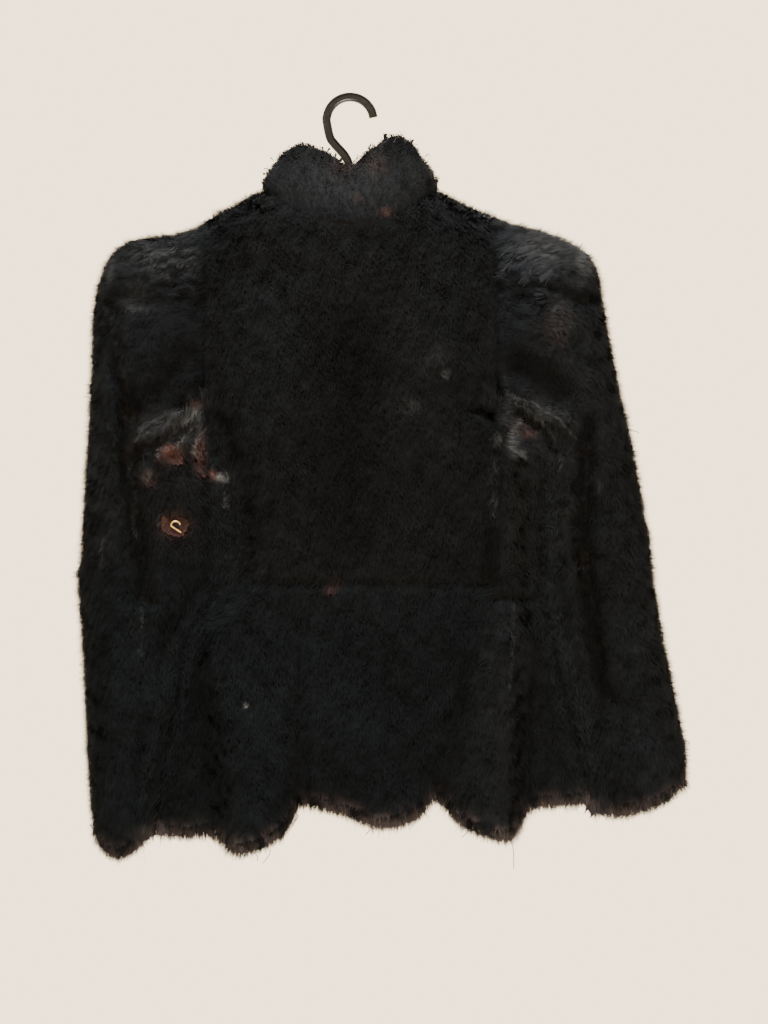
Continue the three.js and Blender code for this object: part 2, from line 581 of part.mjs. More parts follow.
// The stand collar, from one front edge round the back to the other
function collarWall() {
  const outer = [];
  const inner = [];
  const { collarColumns: columns, collarRows: rows } = density;
  for (let j = 0; j <= rows; j += 1) {
    const t = j / rows;
    const outerRow = [];
    const innerRow = [];
    for (let i = 0; i <= columns; i += 1) {
      const degrees = mix(-collarFrontEnd, collarFrontEnd, i / columns);
      const s = Math.sin(radians(degrees));
      const c = Math.cos(radians(degrees));
      const drop = c > 0 ? neck.backDrop : neck.frontDrop;
      const base = topOf(s * (neck.halfWidth - 0.01), drop) + (c > 0 ? collarGap.back : collarGap.front);
      const z = mix(base, read(collarTop, "angle", "z", degrees), t);
      const belly = collarBulge * Math.sin(Math.PI * t);
      const a = neck.halfWidth + 3 + belly - collarLean * s * s * t ** 1.5;
      const b = neck.depth + 3 + belly;
      outerRow.push(new THREE.Vector3(a * s, -b * c, z));
      if (i % 2) continue;
      const thickness = collarPile - 3 * t;
      innerRow.push(new THREE.Vector3((a - thickness) * s, -(b - thickness) * c, z));
    }
    outer.push(outerRow);
    inner.push(innerRow);
  }
  return wallMesh(outer, inner, false);
}

// A solid swept along a flat path in the hanger's plane. section gives [across, depth] pairs.
function sweep(path, section) {
  const points = [];
  const faces = [];
  const n = section.length;
  path.forEach((p, j) => {
    const next = path[Math.min(j + 1, path.length - 1)];
    const ahead = next.clone().sub(path[Math.max(j - 1, 0)]).normalize();
    const across = new THREE.Vector3(ahead.z, 0, -ahead.x);
    for (const [w, d] of section) {
      points.push(p.clone().addScaledVector(across, w).add(new THREE.Vector3(0, d, 0)));
    }
    if (j === 0) return;
    for (let i = 0; i < n; i += 1) {
      const a = (j - 1) * n + i;
      const b = (j - 1) * n + ((i + 1) % n);
      faces.push(a, b, b + n, a, b + n, a + n);
    }
  });
  const cap = THREE.ShapeUtils.triangulateShape(section.map(([w, d]) => new THREE.Vector2(w, d)), []);
  const end = (path.length - 1) * n;
  const clockwise = THREE.ShapeUtils.area(section.map(([w, d]) => new THREE.Vector2(w, d))) < 0;
  for (const tri of cap) {
    const [a, b, c] = clockwise ? tri : [...tri].reverse();
    faces.push(a, b, c, end + c, end + b, end + a);
  }
  return solidMesh(points, faces);
}

// The hanger's hook is a moulded strip with a rib along both edges
function hookSolid() {
  const { radius, width, depth, rib, recess, tipAngle, leftAngle } = hookCurve;
  const centerZ = width / 2 - radius;
  const path = [];
  for (let degrees = tipAngle; degrees <= leftAngle; degrees += 13.5) {
    const angle = radians(degrees);
    path.push(new THREE.Vector3(radius * Math.cos(angle), 0, centerZ + radius * Math.sin(angle)));
  }
  const bend = new THREE.CatmullRomCurve3([
    path[path.length - 2],
    path[path.length - 1],
    new THREE.Vector3(-18, 0, -38),
    new THREE.Vector3(-7, 0, -52),
    new THREE.Vector3(0, 0, -66),
    new THREE.Vector3(0, 0, arm.neckZ - 4),
  ]);
  for (let i = 3; i <= 11; i += 1) path.push(bend.getPoint(i / 11));
  const w = width / 2;
  const d = depth / 2;
  const back = [
    [-w, -d], [-w + rib, -d], [-w + rib, -d + recess], [w - rib, -d + recess], [w - rib, -d], [w, -d],
  ];
  return sweep(path, [...back, ...back.map(([across, depthAt]) => [-across, -depthAt])]);
}

// The arms bear on the shoulders from inside
function armsSolid() {
  const clear = pile + seamGap + arm.clearance + arm.height / 2;
  const path = [];
  for (let x = -arm.reach; x <= arm.reach; x += arm.reach / 9) {
    const outside = Math.max(Math.abs(x), neck.halfWidth) * (x < 0 ? -1 : 1);
    const atShoulder = read(shoulderLine, "x", "z", outside) - clear;
    const share = smooth(1 - Math.abs(x) / neck.halfWidth);
    path.push(new THREE.Vector3(x, 0, mix(atShoulder, arm.neckZ - arm.height / 2, share)));
  }
  const h = arm.height / 2;
  const t = arm.thickness / 2;
  const r = arm.chamfer;
  return sweep(path, [
    [-h, -t + r], [-h + r, -t], [h - r, -t], [h, -t + r], [h, t - r], [h - r, t], [-h + r, t], [-h, t - r],
  ]);
}

async function joined(geometries) {
  const wasm = await Module();
  wasm.setup();
  const solids = geometries.map((g) => new wasm.Manifold(new wasm.Mesh({
    numProp: 3,
    vertProperties: new Float32Array(g.attributes.position.array),
    triVerts: new Uint32Array(g.index.array),
  })));
  const mesh = solids.reduce((a, b) => a.add(b)).getMesh();
  const geometry = new THREE.BufferGeometry();
  geometry.setAttribute("position", new THREE.BufferAttribute(mesh.vertProperties, 3));
  geometry.setIndex(new THREE.BufferAttribute(mesh.triVerts, 1));
  geometry.computeVertexNormals();
  return geometry;
}

// The small hook of a fur fastening, lying on the bare leather of a tear: a bend and a straight leg
const furHookPath = Array.from({ length: furHook.steps + 1 }, (_, i) => {
  const angle = radians(furHook.startAngle + (furHook.sweep * i) / furHook.steps);
  return new THREE.Vector3(furHook.radius * Math.cos(angle), 0, furHook.height * Math.sin(angle));
});
const bendEnd = furHookPath[furHook.steps];
const legEnd = new THREE.Vector3(furHook.leg.x, 0, furHook.leg.z);
for (let i = 1; i <= furHook.leg.steps; i += 1) {
  furHookPath.push(bendEnd.clone().lerp(legEnd, i / furHook.leg.steps));
}
function furHookSolid() {
  const section = Array.from({ length: furHook.sides }, (_, i) => {
    const angle = (2 * Math.PI * i) / furHook.sides;
    return [furHook.wire * Math.cos(angle), furHook.wire * Math.sin(angle)];
  });
  return sweep(furHookPath, section);
}

// How far out a mesh's back stands under a path laid on it
function backUnder(mesh, path, x, z) {
  mesh.updateMatrixWorld();
  const caster = new THREE.Raycaster();
  const hits = path.map((p) => {
    caster.set(new THREE.Vector3(x + p.x, -200, z + p.z), new THREE.Vector3(0, 1, 0));
    return caster.intersectObject(mesh)[0].point.y;
  });
  return Math.min(...hits);
}

const fur = (color) => new THREE.MeshStandardMaterial({ color, roughness: 0.95, metalness: 0 });
const materials = {
  black: fur("#171816"),
  brown: fur("#1d1a16"),
  cool: fur("#141817"),
  plastic: new THREE.MeshStandardMaterial({ color: "#0d0d0e", roughness: 0.35, metalness: 0 }),
  brass: new THREE.MeshStandardMaterial({ color: "#b08d4c", roughness: 0.35, metalness: 1 }),
};

const group = new THREE.Group();
function add(name, geometry, material) {
  const mesh = new THREE.Mesh(geometry, material);
  mesh.name = name;
  group.add(mesh);
  return mesh;
}

const leftSeam = (z) => seamAt("left", z);
const rightSeam = (z) => seamAt("right", z);
add("back_upper", backUpper(), materials.brown);
add("back_side_right", backSideRight(), materials.brown);
const leftFlank = (z) => flankAt(-1, z);
const rightFlank = (z) => flankAt(1, z);
const leftTop = peltSeam.center - halfGap;
const rightTop = peltSeam.right - halfGap;
add("back_lower_left", backLower(leftFlank, leftSeam, leftTop, 10), materials.cool);
add("back_lower_center", backLower(leftSeam, rightSeam, leftTop, 14), materials.cool);
add("back_lower_right", backLower(rightSeam, rightFlank, rightTop, 10), materials.black);
add("side_left", sideGore(-1), materials.cool);
add("side_right", sideGore(1), materials.black);
add("front_left", frontPanel(-1), materials.black);
add("front_right", frontPanel(1), materials.black);
add("collar", collarWall(), materials.black);

const [leftUpper, leftLower] = sleeve(leftSleeve, -1, sleeveSeamRow.left, cuffSag.left);
const [rightUpper, rightLower] = sleeve(rightSleeve, 1, sleeveSeamRow.right, cuffSag.right);
const leftSleeveMesh = add("sleeve_left_upper", leftUpper, materials.black);
add("sleeve_left_lower", leftLower, materials.cool);
add("sleeve_right_upper", rightUpper, materials.black);
add("sleeve_right_lower", rightLower, materials.black);

add("hanger", await joined([hookSolid(), armsSolid()]), materials.plastic);

const hookY = backUnder(leftSleeveMesh, furHookPath, furHook.x, furHook.z) - furHook.wire - seamGap;
add("fur_hook", furHookSolid(), materials.brass).position.set(furHook.x, hookY, furHook.z);

export default group;
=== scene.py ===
# Sheared fur jacket on a moulded hanger, seen from its back. Tables and sizes are millimetres,
# and a mesh is turned into metres when it is made.
import math
import bpy
import numpy as np
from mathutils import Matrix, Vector


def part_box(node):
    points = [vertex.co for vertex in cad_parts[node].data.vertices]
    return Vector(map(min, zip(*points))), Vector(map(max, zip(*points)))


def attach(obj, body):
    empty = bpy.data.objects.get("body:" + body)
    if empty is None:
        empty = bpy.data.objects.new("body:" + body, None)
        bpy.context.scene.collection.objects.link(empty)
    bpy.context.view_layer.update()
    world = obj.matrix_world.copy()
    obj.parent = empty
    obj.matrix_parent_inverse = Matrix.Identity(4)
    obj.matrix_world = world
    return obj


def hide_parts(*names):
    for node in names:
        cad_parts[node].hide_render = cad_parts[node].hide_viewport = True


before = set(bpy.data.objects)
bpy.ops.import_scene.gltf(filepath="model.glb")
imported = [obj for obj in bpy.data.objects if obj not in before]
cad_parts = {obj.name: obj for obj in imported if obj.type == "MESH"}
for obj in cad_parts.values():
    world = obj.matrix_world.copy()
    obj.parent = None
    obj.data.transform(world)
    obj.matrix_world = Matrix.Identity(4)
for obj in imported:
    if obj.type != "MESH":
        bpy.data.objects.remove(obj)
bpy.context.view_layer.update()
dice = np.random.default_rng(11)
root = "root"


# helpers on numbers
def mix(a, b, t):
    return a + (b - a) * t


def smooth(t):
    t = np.clip(t, 0, 1)
    return t * t * (3 - 2 * t)


def roll(distance, radius):
    # quarter round, 0 at an edge and 1 once radius in from it
    return np.sqrt(1 - (1 - np.clip(distance / radius, 0, 1)) ** 2)


def unit(v):
    return v / np.maximum(np.linalg.norm(v, axis=-1, keepdims=True), 1e-9)


def curveAt(table, column, at):
    # smooth curve through the rows of a table, read by its first column
    rows = np.asarray(table, float)
    keys, values = rows[:, 0], rows[:, column]
    at = np.asarray(at, float)
    if keys[0] > keys[1]:
        keys, at = -keys, -at
    at = np.clip(at, keys[0], keys[-1])
    last = len(keys) - 1
    i = np.clip(np.searchsorted(keys, at, side="right") - 1, 0, last - 1)
    low, high = np.maximum(i - 1, 0), np.minimum(i + 2, last)
    before = (values[i + 1] - values[low]) / (keys[i + 1] - keys[low])
    after = (values[high] - values[i]) / (keys[high] - keys[i])
    span = keys[i + 1] - keys[i]
    t = (at - keys[i]) / span
    return ((2 * t ** 3 - 3 * t ** 2 + 1) * values[i] + (t ** 3 - 2 * t ** 2 + t) * span * before
            + (3 * t ** 2 - 2 * t ** 3) * values[i + 1] + (t ** 3 - t ** 2) * span * after)


def foldsAt(folds, x, z, narrowShare=1.0):
    # each fold is x1, z1, x2, z2, width, height and its share at the first place
    total = np.zeros(np.broadcast(x, z).shape)
    for x1, z1, x2, z2, width, height, grow in folds:
        dx, dz = x2 - x1, z2 - z1
        t = np.clip(((x - x1) * dx + (z - z1) * dz) / (dx * dx + dz * dz), 0, 1)
        away = ((x - x1 - t * dx) ** 2 + (z - z1 - t * dz) ** 2) / width ** 2
        share = narrowShare if width < 15 else 1.0
        total = total + height * share * mix(grow, 1, t) * np.exp(-away)
    return total


def insideOutline(x, z, outline):
    inside = np.zeros(len(x), bool)
    for (x1, z1), (x2, z2) in zip(outline, outline[1:] + outline[:1]):
        crosses = (z1 > z) != (z2 > z)
        inside ^= crosses & (x < (x2 - x1) * (z - z1) / (z2 - z1 + 1e-9) + x1)
    return inside


def waveSet(size, seed, count=9):
    lots = np.random.default_rng(seed)
    k = unit(lots.normal(size=(count, 3))) * lots.uniform(0.6, 1.7, (count, 1)) * 2 * np.pi / size
    return k, lots.uniform(0, 2 * np.pi, count)


def waves(p, size, seed):
    # smooth noise of about one, whose bumps are this many millimetres apart
    k, phase = waveSet(size, seed)
    return np.sin(p @ k.T + phase).sum(-1) / np.sqrt(len(k) / 2)


def drift(p, size, seed):
    # where the noise pulls a hair's tip, so that hairs gather into tufts
    k, phase = waveSet(size, seed)
    return np.cos(p @ k.T + phase) @ unit(k) / np.sqrt(len(k) / 2)


# the jacket's form
armpit, seamGap = -313.0, 0.3
halfGap = seamGap / 2
armholeX = (-145.0, 147.0)
waist, sideWaist = -485.0, -499.0  # seams under the upper back and under the right side back
frontGap, frontHemLift = 1.5, 5.0  # half the opening, and how much shorter the front is
armhole = {"top": (-123.0, -118.0), "depth": 44.0, "roundness": 2.4}
neck = {"halfWidth": 84.0, "depth": 38.0, "backDrop": 33.0, "frontDrop": 50.0, "z": -91.0}
gore = {"roll": 18.0, "depth": 18.0, "step": 24.0, "from": -530.0, "full": -600.0}
shoulderRoll, sideRoll = 60.0, 45.0
rolled = 0.16  # share of a panel's rows that lie on the shoulder's roll

shoulderLine = [(-145, -123), (-133, -114), (-111, -103), (-84, -91),
                (84, -91), (109, -102), (131, -112), (147, -118)]
# height, where the body ends, where its side gore meets the back
leftEdge = [(-313, -145, -144.4), (-325, -143, -140.5), (-342, -137, -134), (-388, -122, -119),
            (-458, -118.5, -115.5), (-498, -136, -133), (-538, -159, -155), (-588, -173, -152),
            (-628, -182, -146), (-698, -193, -140), (-735, -199, -135)]
rightEdge = [(-313, 147, 146.4), (-325, 160, 157.5), (-342, 175, 172), (-368, 189, 186),
             (-388, 191, 188), (-458, 191, 188), (-498, 191, 188), (-538, 201, 184),
             (-588, 214, 181), (-628, 227, 181), (-698, 240, 180), (-735, 242, 180)]
# height, left seam, right seam
backSeams = [(-313, -50, 146), (-368, -50, 141.5), (-485, -50, 136), (-500, -50, 134.8),
             (-538, -50, 128.5), (-588, -50, 117), (-628, -50, 108), (-735, -50, 84)]
# height, depth of the back, depth of the front
bodyDepth = [(-90, 40, 38), (-200, 46, 42), (-313, 48, 44), (-485, 44, 40), (-600, 46, 43),
             (-750, 50, 46)]
hemline = [(-205, -730), (-160, -735), (-138, -734), (-130, -742), (-108, -747), (-84, -740),
           (-62, -726), (-50, -703), (-26, -704), (0, -711), (24, -720), (50, -719), (72, -710),
           (86, -697), (106, -717), (130, -728), (156, -734), (172, -726), (181, -708),
           (205, -704), (246, -700)]
bodyFolds = [
    (-98, -500, -95, -760, 27, 10, 0), (-49, -520, -50, -720, 9, -9, 0.2),  # left flute, crease
    (5, -600, 28, -730, 30, 7, 0), (130, -520, 86, -710, 10, -10, 0.2),  # centre lobe, valley
    (158, -505, 142, -750, 24, 11, 0.3), (166, -370, 165, -480, 18, 6, 0.5),  # right flute, waist
    (144, -350, 138, -485, 7, -6, 0.3), (-140, -325, -108, -470, 12, -6, 1),  # drags at the waist
    (-80, -210, -75, -330, 30, 4, 1), (85, -210, 75, -340, 32, 4, 1),  # shoulder blades
    (5, -240, 0, -450, 28, -4, 1), (-102, -485, 136, -485, 6, -2.0, 1),  # hollow, waist seam
    (144, -499, 176, -499, 6, -4, 1),
]


def topOf(x, drop):
    arc = neck["z"] - drop * (1 - (np.clip(x / neck["halfWidth"], -1, 1)) ** 2)
    return np.where(np.abs(x) >= neck["halfWidth"], curveAt(shoulderLine, 1, x), arc)


def sideAt(x, z):
    return np.where(x < 0, curveAt(leftEdge, 1, z), curveAt(rightEdge, 1, z))


def flankAt(x, z):
    return np.where(x < 0, curveAt(leftEdge, 2, z), curveAt(rightEdge, 2, z))


def armholeDepth(x, z):
    top = np.where(x < 0, armhole["top"][0], armhole["top"][1])
    t = np.clip(np.abs((z - (top + armpit) / 2) / ((top - armpit) / 2)), 0, 1)
    return armhole["depth"] * (1 - t ** armhole["roundness"]) ** (1 / armhole["roundness"])


def goreShareAt(z):
    return smooth((z - gore["from"]) / (gore["full"] - gore["from"]))


def depthAt(x, z, back, narrow=1.0):
    depth = curveAt(bodyDepth, 1 if back else 2, z)
    top = topOf(x, neck["backDrop"] if back else neck["frontDrop"])
    neckDepth = neck["depth"] * np.sqrt(np.maximum(0, 1 - (x / neck["halfWidth"]) ** 2))
    share = goreShareAt(z) if back else 0.0
    inset = np.abs(sideAt(x, z)) - np.abs(x)
    sideRound = roll(inset, mix(sideRoll, gore["roll"], share))
    folds = foldsAt(bodyFolds, x if back else -x, z, narrow) * (1.0 if back else 0.8)
    full = mix(neckDepth, depth + folds, roll(top - z, shoulderRoll))
    pastFlank = smooth((np.abs(flankAt(x, z)) - np.abs(x)) / gore["step"])
    stepped = mix(full, mix(gore["depth"], full, pastFlank), share)
    return mix(armholeDepth(x, z), stepped, sideRound)


def hemAt(x, back):
    return curveAt(hemline, 1, x) + (0 if back else frontHemLift)


panelLines = {
    "left flank": lambda z: flankAt(-1, z),
    "right flank": lambda z: flankAt(1, z),
    "left seam": lambda z: curveAt(backSeams, 1, z),
    "right seam": lambda z: curveAt(backSeams, 2, z),
    "middle": lambda z: 0 * z,
}


def panelSides(panel, z, tuck):
    # half a gap inside the lines that the panel meets, and out past them by any tuck
    sides = []
    for line, hand, limit, reach in zip(panel["lines"], (1, -1), armholeX, tuck):
        x = panelLines[line](z)
        if line != "middle" and "top" not in panel:
            x = np.where(z >= armpit, limit, x)
        sides.append(x + hand * ((frontGap if line == "middle" else halfGap) - reach))
    return sides


def panelGrid(panel, rows, columns, narrow=1.0, tuck=(0, 0), above=0.0):
    # one panel of the back or front, row by row down from its top edge
    back = panel.get("back", True)
    u, v = np.linspace(0, 1, columns)[None, :], np.linspace(0, 1, rows)[:, None]
    z = np.full((rows, columns), -300.0)
    for _ in range(6):
        left, right = panelSides(panel, z, tuck)
        x = mix(left, right, u)
        end = panel.get("end", hemAt(x, back))
        if "top" in panel:
            z = mix(panel["top"] + above, end, v) + 0 * x
        else:
            ridge = topOf(x, neck["backDrop"] if back else neck["frontDrop"])
            over = ridge - shoulderRoll * (1 - np.cos(np.clip(v / rolled, 0, 1) * np.pi / 2))
            below = mix(ridge - shoulderRoll, end, (v - rolled) / (1 - rolled))
            z = np.where(v <= rolled, over, below)
    y = depthAt(x, z, back, narrow) * (-1 if back else 1)
    return np.stack([x, y, z], -1)


def goreGrid(hand, rows, columns, narrow=1.0, reach=1.0):
    # a gore that wraps one side of the body, from the back (-1) round to the front (1)
    part, v = np.linspace(-reach, reach, columns)[None, :], np.linspace(0, 1, rows)[:, None]
    behind = part < 0
    z = mix(armpit, -700.0, v) + 0 * part
    for _ in range(6):
        width = np.abs(sideAt(hand, z)) - np.abs(flankAt(hand, z)) - seamGap
        radius = np.where(behind, mix(sideRoll, gore["roll"], goreShareAt(z)), sideRoll)
        within = np.arccos(np.clip(1 - width / radius, -1, 1))
        full = np.where(width < radius, within, np.pi / 2 + width / radius - 1)
        turn = np.abs(part) * full
        inset = radius * np.where(turn < np.pi / 2, 1 - np.cos(turn), 1 + turn - np.pi / 2)
        x = sideAt(hand, z) - hand * inset
        end = np.where(behind, hemAt(x, True), mix(hemAt(x, True), hemAt(x, False), smooth(part)))
        z = mix(armpit - seamGap, end, v)
    y = np.where(behind, -depthAt(x, z, True, narrow), depthAt(x, z, False, narrow))
    return np.stack([x, y, z], -1)


# one row each: outer end x, z, inner end x, z, half the depth
leftSleeve = [
    (-145, -123, -145, -313, 44), (-160, -129, -147.5, -314.5, 46), (-180, -135, -149, -317, 48),
    (-204, -138, -150, -320, 49), (-228, -145, -150.3, -324, 49), (-245, -162, -150, -328, 48),
    (-254, -188, -148.6, -332, 47), (-259, -222, -146, -337, 46), (-260, -262, -142, -345, 45),
    (-262, -300, -134.9, -358, 44), (-264, -342, -126.9, -378, 44), (-267, -382, -121.4, -405, 44),
    (-269, -420, -119.9, -430, 43), (-271, -448, -119.9, -452, 43), (-272, -470, -123.9, -470, 42),
    (-273, -498, -137.9, -498, 42), (-270, -538, -160.9, -538, 42), (-267, -590, -174.9, -590, 41),
    (-265, -640, -184.9, -640, 40), (-262, -690, -193.4, -690, 39), (-257, -731, -200.4, -729, 37),
]
rightSleeve = [
    (147, -118, 147, -313, 44), (165, -124, 151, -314, 46), (188, -130, 155, -317, 48),
    (212, -139, 159, -321, 49), (234, -151, 163.5, -325.5, 49), (248, -168, 168, -330, 48),
    (254, -198, 173, -336, 46), (261, -238, 179.5, -344, 44), (270, -284, 186, -354, 43),
    (280, -326, 190.4, -368, 42), (288, -366, 192.1, -388, 42), (294, -400, 192.4, -410, 42),
    (298, -428, 192.4, -430, 42), (303, -460, 192.4, -460, 42), (308, -498, 193, -498, 42),
    (315, -538, 203.5, -540, 42), (323, -578, 214, -582, 41), (331, -618, 227, -624, 40),
    (338, -655, 237.5, -674, 39), (337, -682, 246, -711, 37),
]
sleeveFolds = [
    (-245, -205, -217, -312, 9, -8, 0.4), (-217, -312, -219, -365, 9, -9, 1),  # left long crease
    (-219, -365, -202, -500, 9, -7, 1), (-242, -280, -245, -450, 14, 3, 1),
    (-153, -316, -212, -338, 7, 6, 0.7), (-156, -330, -205, -352, 6, -5, 0.7),  # drags
    (-152, -342, -210, -368, 8, 5, 0.6), (-160, -255, -200, -300, 16, -5, 1),
    (-146, -198, -232, -204, 9, -6, 0.6), (-222, -520, -226, -740, 18, 4, 0.4),
    (234, -325, 233, -458, 9, -8, 1), (233, -458, 253, -600, 9, -8, 1),  # right long crease
    (155, -300, 226, -326, 7, 6, 0.6), (168, -330, 182, -334, 9, 6, 1),
    (170, -262, 206, -292, 15, -8, 1), (150, -194, 238, -200, 9, -8, 0.6),
    (290, -470, 306, -690, 22, 4, 0.5), (212, -370, 216, -560, 12, 4, 1),
]
tears = [(-177, -358, 10, -6), (-147, -366, 8, -6), (-196, -383, 7, -4), (-172, -425, 14, -7)]
gatherLines = []
for hand, x1, x2 in ((-1, -149, -222), (1, 151, 228)):
    for i in range(5):
        z = -142 - 13 * i
        gatherLines.append((x1, z, x2 - hand * 5 * i, z - 8 * (1 - i / 5), 4.6, 6, 1))
tearFolds = [(x, z, x + 1, z, radius * 0.75, height, 1) for x, z, radius, height in tears]
# outlines of the bare hide in them
tornOutlines = [
    [(-182, -349), (-176, -347), (-171, -350), (-168, -356), (-167, -362), (-173, -363), (-180, -360)],
    [(-152, -343), (-149, -343), (-147.5, -352), (-145, -362), (-143, -371), (-146, -373), (-149.5, -366),
     (-151, -356)],
    [(-182, -418), (-176, -421), (-168, -419), (-162, -423), (-164, -429), (-168, -434), (-175, -433),
     (-182, -429)],
]
sleeves = {
    "left": {"rows": leftSleeve, "hand": -1, "seam": 14, "sag": 23},
    "right": {"rows": rightSleeve, "hand": 1, "seam": 12, "sag": 10},
}


def sleeveGrid(sleeve, lower, rows, columns, wall=0.0, small=True):
    # a tube, from its outer end round the back to its inner end and round the front
    last = len(sleeve["rows"]) - 1
    table = [(i, *row) for i, row in enumerate(sleeve["rows"])]
    first, end = (sleeve["seam"], last) if lower else (0, sleeve["seam"])
    s = np.linspace(first, end, rows)[:, None]
    outX, outZ, inX, inZ, depth = (curveAt(table, k, s) for k in range(1, 6))
    flare = 2.5 * np.clip(1 - (s - first), 0, 1) if lower else 0.0
    outX, depth = outX + sleeve["hand"] * flare, depth + flare
    half = np.hypot(inX - outX, inZ - outZ) / 2
    alongX, alongZ = (inX - outX) / (2 * half), (inZ - outZ) / (2 * half)
    angle = np.linspace(0, 2 * np.pi, columns)[None, :]
    c, sine = np.cos(angle), np.sin(angle)
    power = 2 / armhole["roundness"]
    reach = -np.sign(c) * np.abs(c) ** power * (half - wall)
    shape = np.abs(sine) ** power
    x = (outX + inX) / 2 + alongX * reach
    z = (outZ + inZ) / 2 + alongZ * reach
    behind = sine > 0
    flat = np.stack([x, 0 * x, z], -1)
    wavered = 4.0 * waves(flat, 52, 52)
    folds = foldsAt(sleeveFolds, x + 0.6 * wavered, np.where(behind, z, z - 14) + wavered)
    if small:
        folds = folds + foldsAt(gatherLines, x, z + 3.2 * waves(flat, 27, 51)) + foldsAt(tearFolds, x, z)
    raised = folds * shape * np.where(behind, 1, 0.75) * (1.0 if small else 0.7)
    y = np.where(behind, -1, 1) * (shape * (depth - wall) + raised)
    z = z - sleeve["sag"] * np.interp(s, [last - 2, last - 1, last], [0, 0.45, 1]) * sine ** 2
    return np.stack([x, y, z], -1)


# angle from the middle of the back, height of the collar there
collarTop = [(-176, -116), (-120, -92), (-82, -61), (-48, -51), (-32, -50), (-16, -58), (0, -71),
             (15, -54), (32, -42), (46, -43), (82, -60), (120, -92), (176, -114)]
collarMake = {"turn": 176, "proud": 3.0, "belly": 4.0, "wall": (12.0, 9.0), "lean": 15.0,
              "clear": {"back": 0.5, "front": 1.2}, "pelt": (0.45, 0.6), "short": 3.5, "sunk": 8.0}


def collarGrid(rows, columns, inward=0.0):
    make = collarMake
    degrees = np.linspace(-make["turn"], make["turn"], columns)[None, :]
    t = np.linspace(0, 1, rows)[:, None]
    s, c = np.sin(np.radians(degrees)), np.cos(np.radians(degrees))
    x0 = s * (neck["halfWidth"] - 0.01)
    base = np.where(c > 0, topOf(x0, neck["backDrop"]) + make["clear"]["back"],
                    topOf(x0, neck["frontDrop"]) + make["clear"]["front"])
    z = mix(base, curveAt(collarTop, 1, degrees), t)
    out = make["proud"] + make["belly"] * np.sin(np.pi * t) - mix(*make["wall"], t) * inward
    a = neck["halfWidth"] + out - make["lean"] * s * s * t ** 1.5
    b = neck["depth"] + out
    return np.stack([a * s, -b * c + 0 * t, z], -1)


# meshes from arrays
def placed(name, data):
    thing = bpy.data.objects.new(name, data)
    bpy.context.scene.collection.objects.link(thing)
    return thing


def meshPiece(name, points, faces, attributes=()):
    # faces holds rows of three or four vertex numbers
    mesh = bpy.data.meshes.new(name)
    mesh.vertices.add(len(points))
    mesh.vertices.foreach_set("co", np.asarray(points * 0.001, np.float32).ravel())
    mesh.loops.add(faces.size)
    mesh.loops.foreach_set("vertex_index", faces.astype(np.int32).ravel())
    mesh.polygons.add(len(faces))
    starts = np.arange(0, faces.size, faces.shape[1], dtype=np.int32)
    mesh.polygons.foreach_set("loop_start", starts)
    mesh.update(calc_edges=True)
    for label, kind, values in attributes:
        layer = mesh.attributes.new(label, kind, "POINT")
        field = "value" if kind == "FLOAT" else "color"
        layer.data.foreach_set(field, np.asarray(values, np.float32).ravel())
    return placed(name, mesh)


def shadeSmooth(piece):
    polygons = piece.data.polygons
    polygons.foreach_set("use_smooth", np.ones(len(polygons), bool))


def quadsOf(numbers):
    # faces between the rows and columns of a grid of vertex numbers
    corners = numbers[:-1, :-1], numbers[:-1, 1:], numbers[1:, 1:], numbers[1:, :-1]
    return np.stack(corners, -1).reshape(-1, 4)


def wallBetween(outer, inner, closed):
    # points and faces of a thin closed wall between two grids of the same size
    if closed:
        outer, inner = outer[:, :-1], inner[:, :-1]
    count = outer.shape[0] * outer.shape[1]
    i = np.arange(count).reshape(outer.shape[:2])
    if closed:
        i = np.concatenate([i, i[:, :1]], 1)
    edges = [i[0, ::-1], i[-1]] + ([] if closed else [i[:, 0], i[::-1, -1]])
    rims = [quadsOf(np.stack([edge, edge + count])) for edge in edges]
    sides = quadsOf(i)
    faces = np.concatenate([sides, sides[:, ::-1] + count, *rims])
    points = np.concatenate([outer.reshape(-1, 3), inner.reshape(-1, 3)])
    a, b, c, d = (points[faces[:, k]] for k in range(4))
    volume = (a * np.cross(b, c)).sum() + (a * np.cross(c, d)).sum()
    return points, faces if volume > 0 else faces[:, ::-1]


def cellAreas(points):
    down, across = points[1:, :-1] - points[:-1, :-1], points[:-1, 1:] - points[:-1, :-1]
    return np.linalg.norm(np.cross(down, across), axis=-1)


farAway = 50.0  # stands for any distance too far to matter


def gridFacts(points, core, closed):
    # outward normals, the way down, and how far each point is from the grid's edges
    if closed:
        wide = np.concatenate([points[:, -2:-1], points, points[:, 1:2]], 1)
        across = wide[:, 2:] - wide[:, :-2]
    else:
        across = np.gradient(points, axis=1)
    down = np.gradient(points, axis=0)
    normal = unit(np.cross(across, down))
    if ((points - core) * normal).sum() < 0:
        normal = -normal
    steps = np.linalg.norm(np.diff(points, axis=0), axis=-1)
    run = np.concatenate([np.zeros((1, points.shape[1])), np.cumsum(steps, 0)])
    steps = np.linalg.norm(np.diff(points, axis=1), axis=-1)
    wide = np.concatenate([np.zeros((points.shape[0], 1)), np.cumsum(steps, 1)], 1)
    side = np.full(run.shape, 2 * farAway) if closed else np.minimum(wide, wide[:, -1:] - wide)
    edge = np.minimum(np.minimum(side, run), run[-1:] - run)
    return {"points": points, "normal": normal, "down": unit(down), "toEnd": run[-1:] - run,
            "edge": edge, "seam": 0 * run + farAway, "form": 0 * run, "close": 0 * run,
            "fringe": 0 * run}, run, side


# finishes
def nodeMaterial(name):
    material = bpy.data.materials.new(name)
    material.use_nodes = True
    return material, material.node_tree, material.node_tree.nodes["Principled BSDF"]


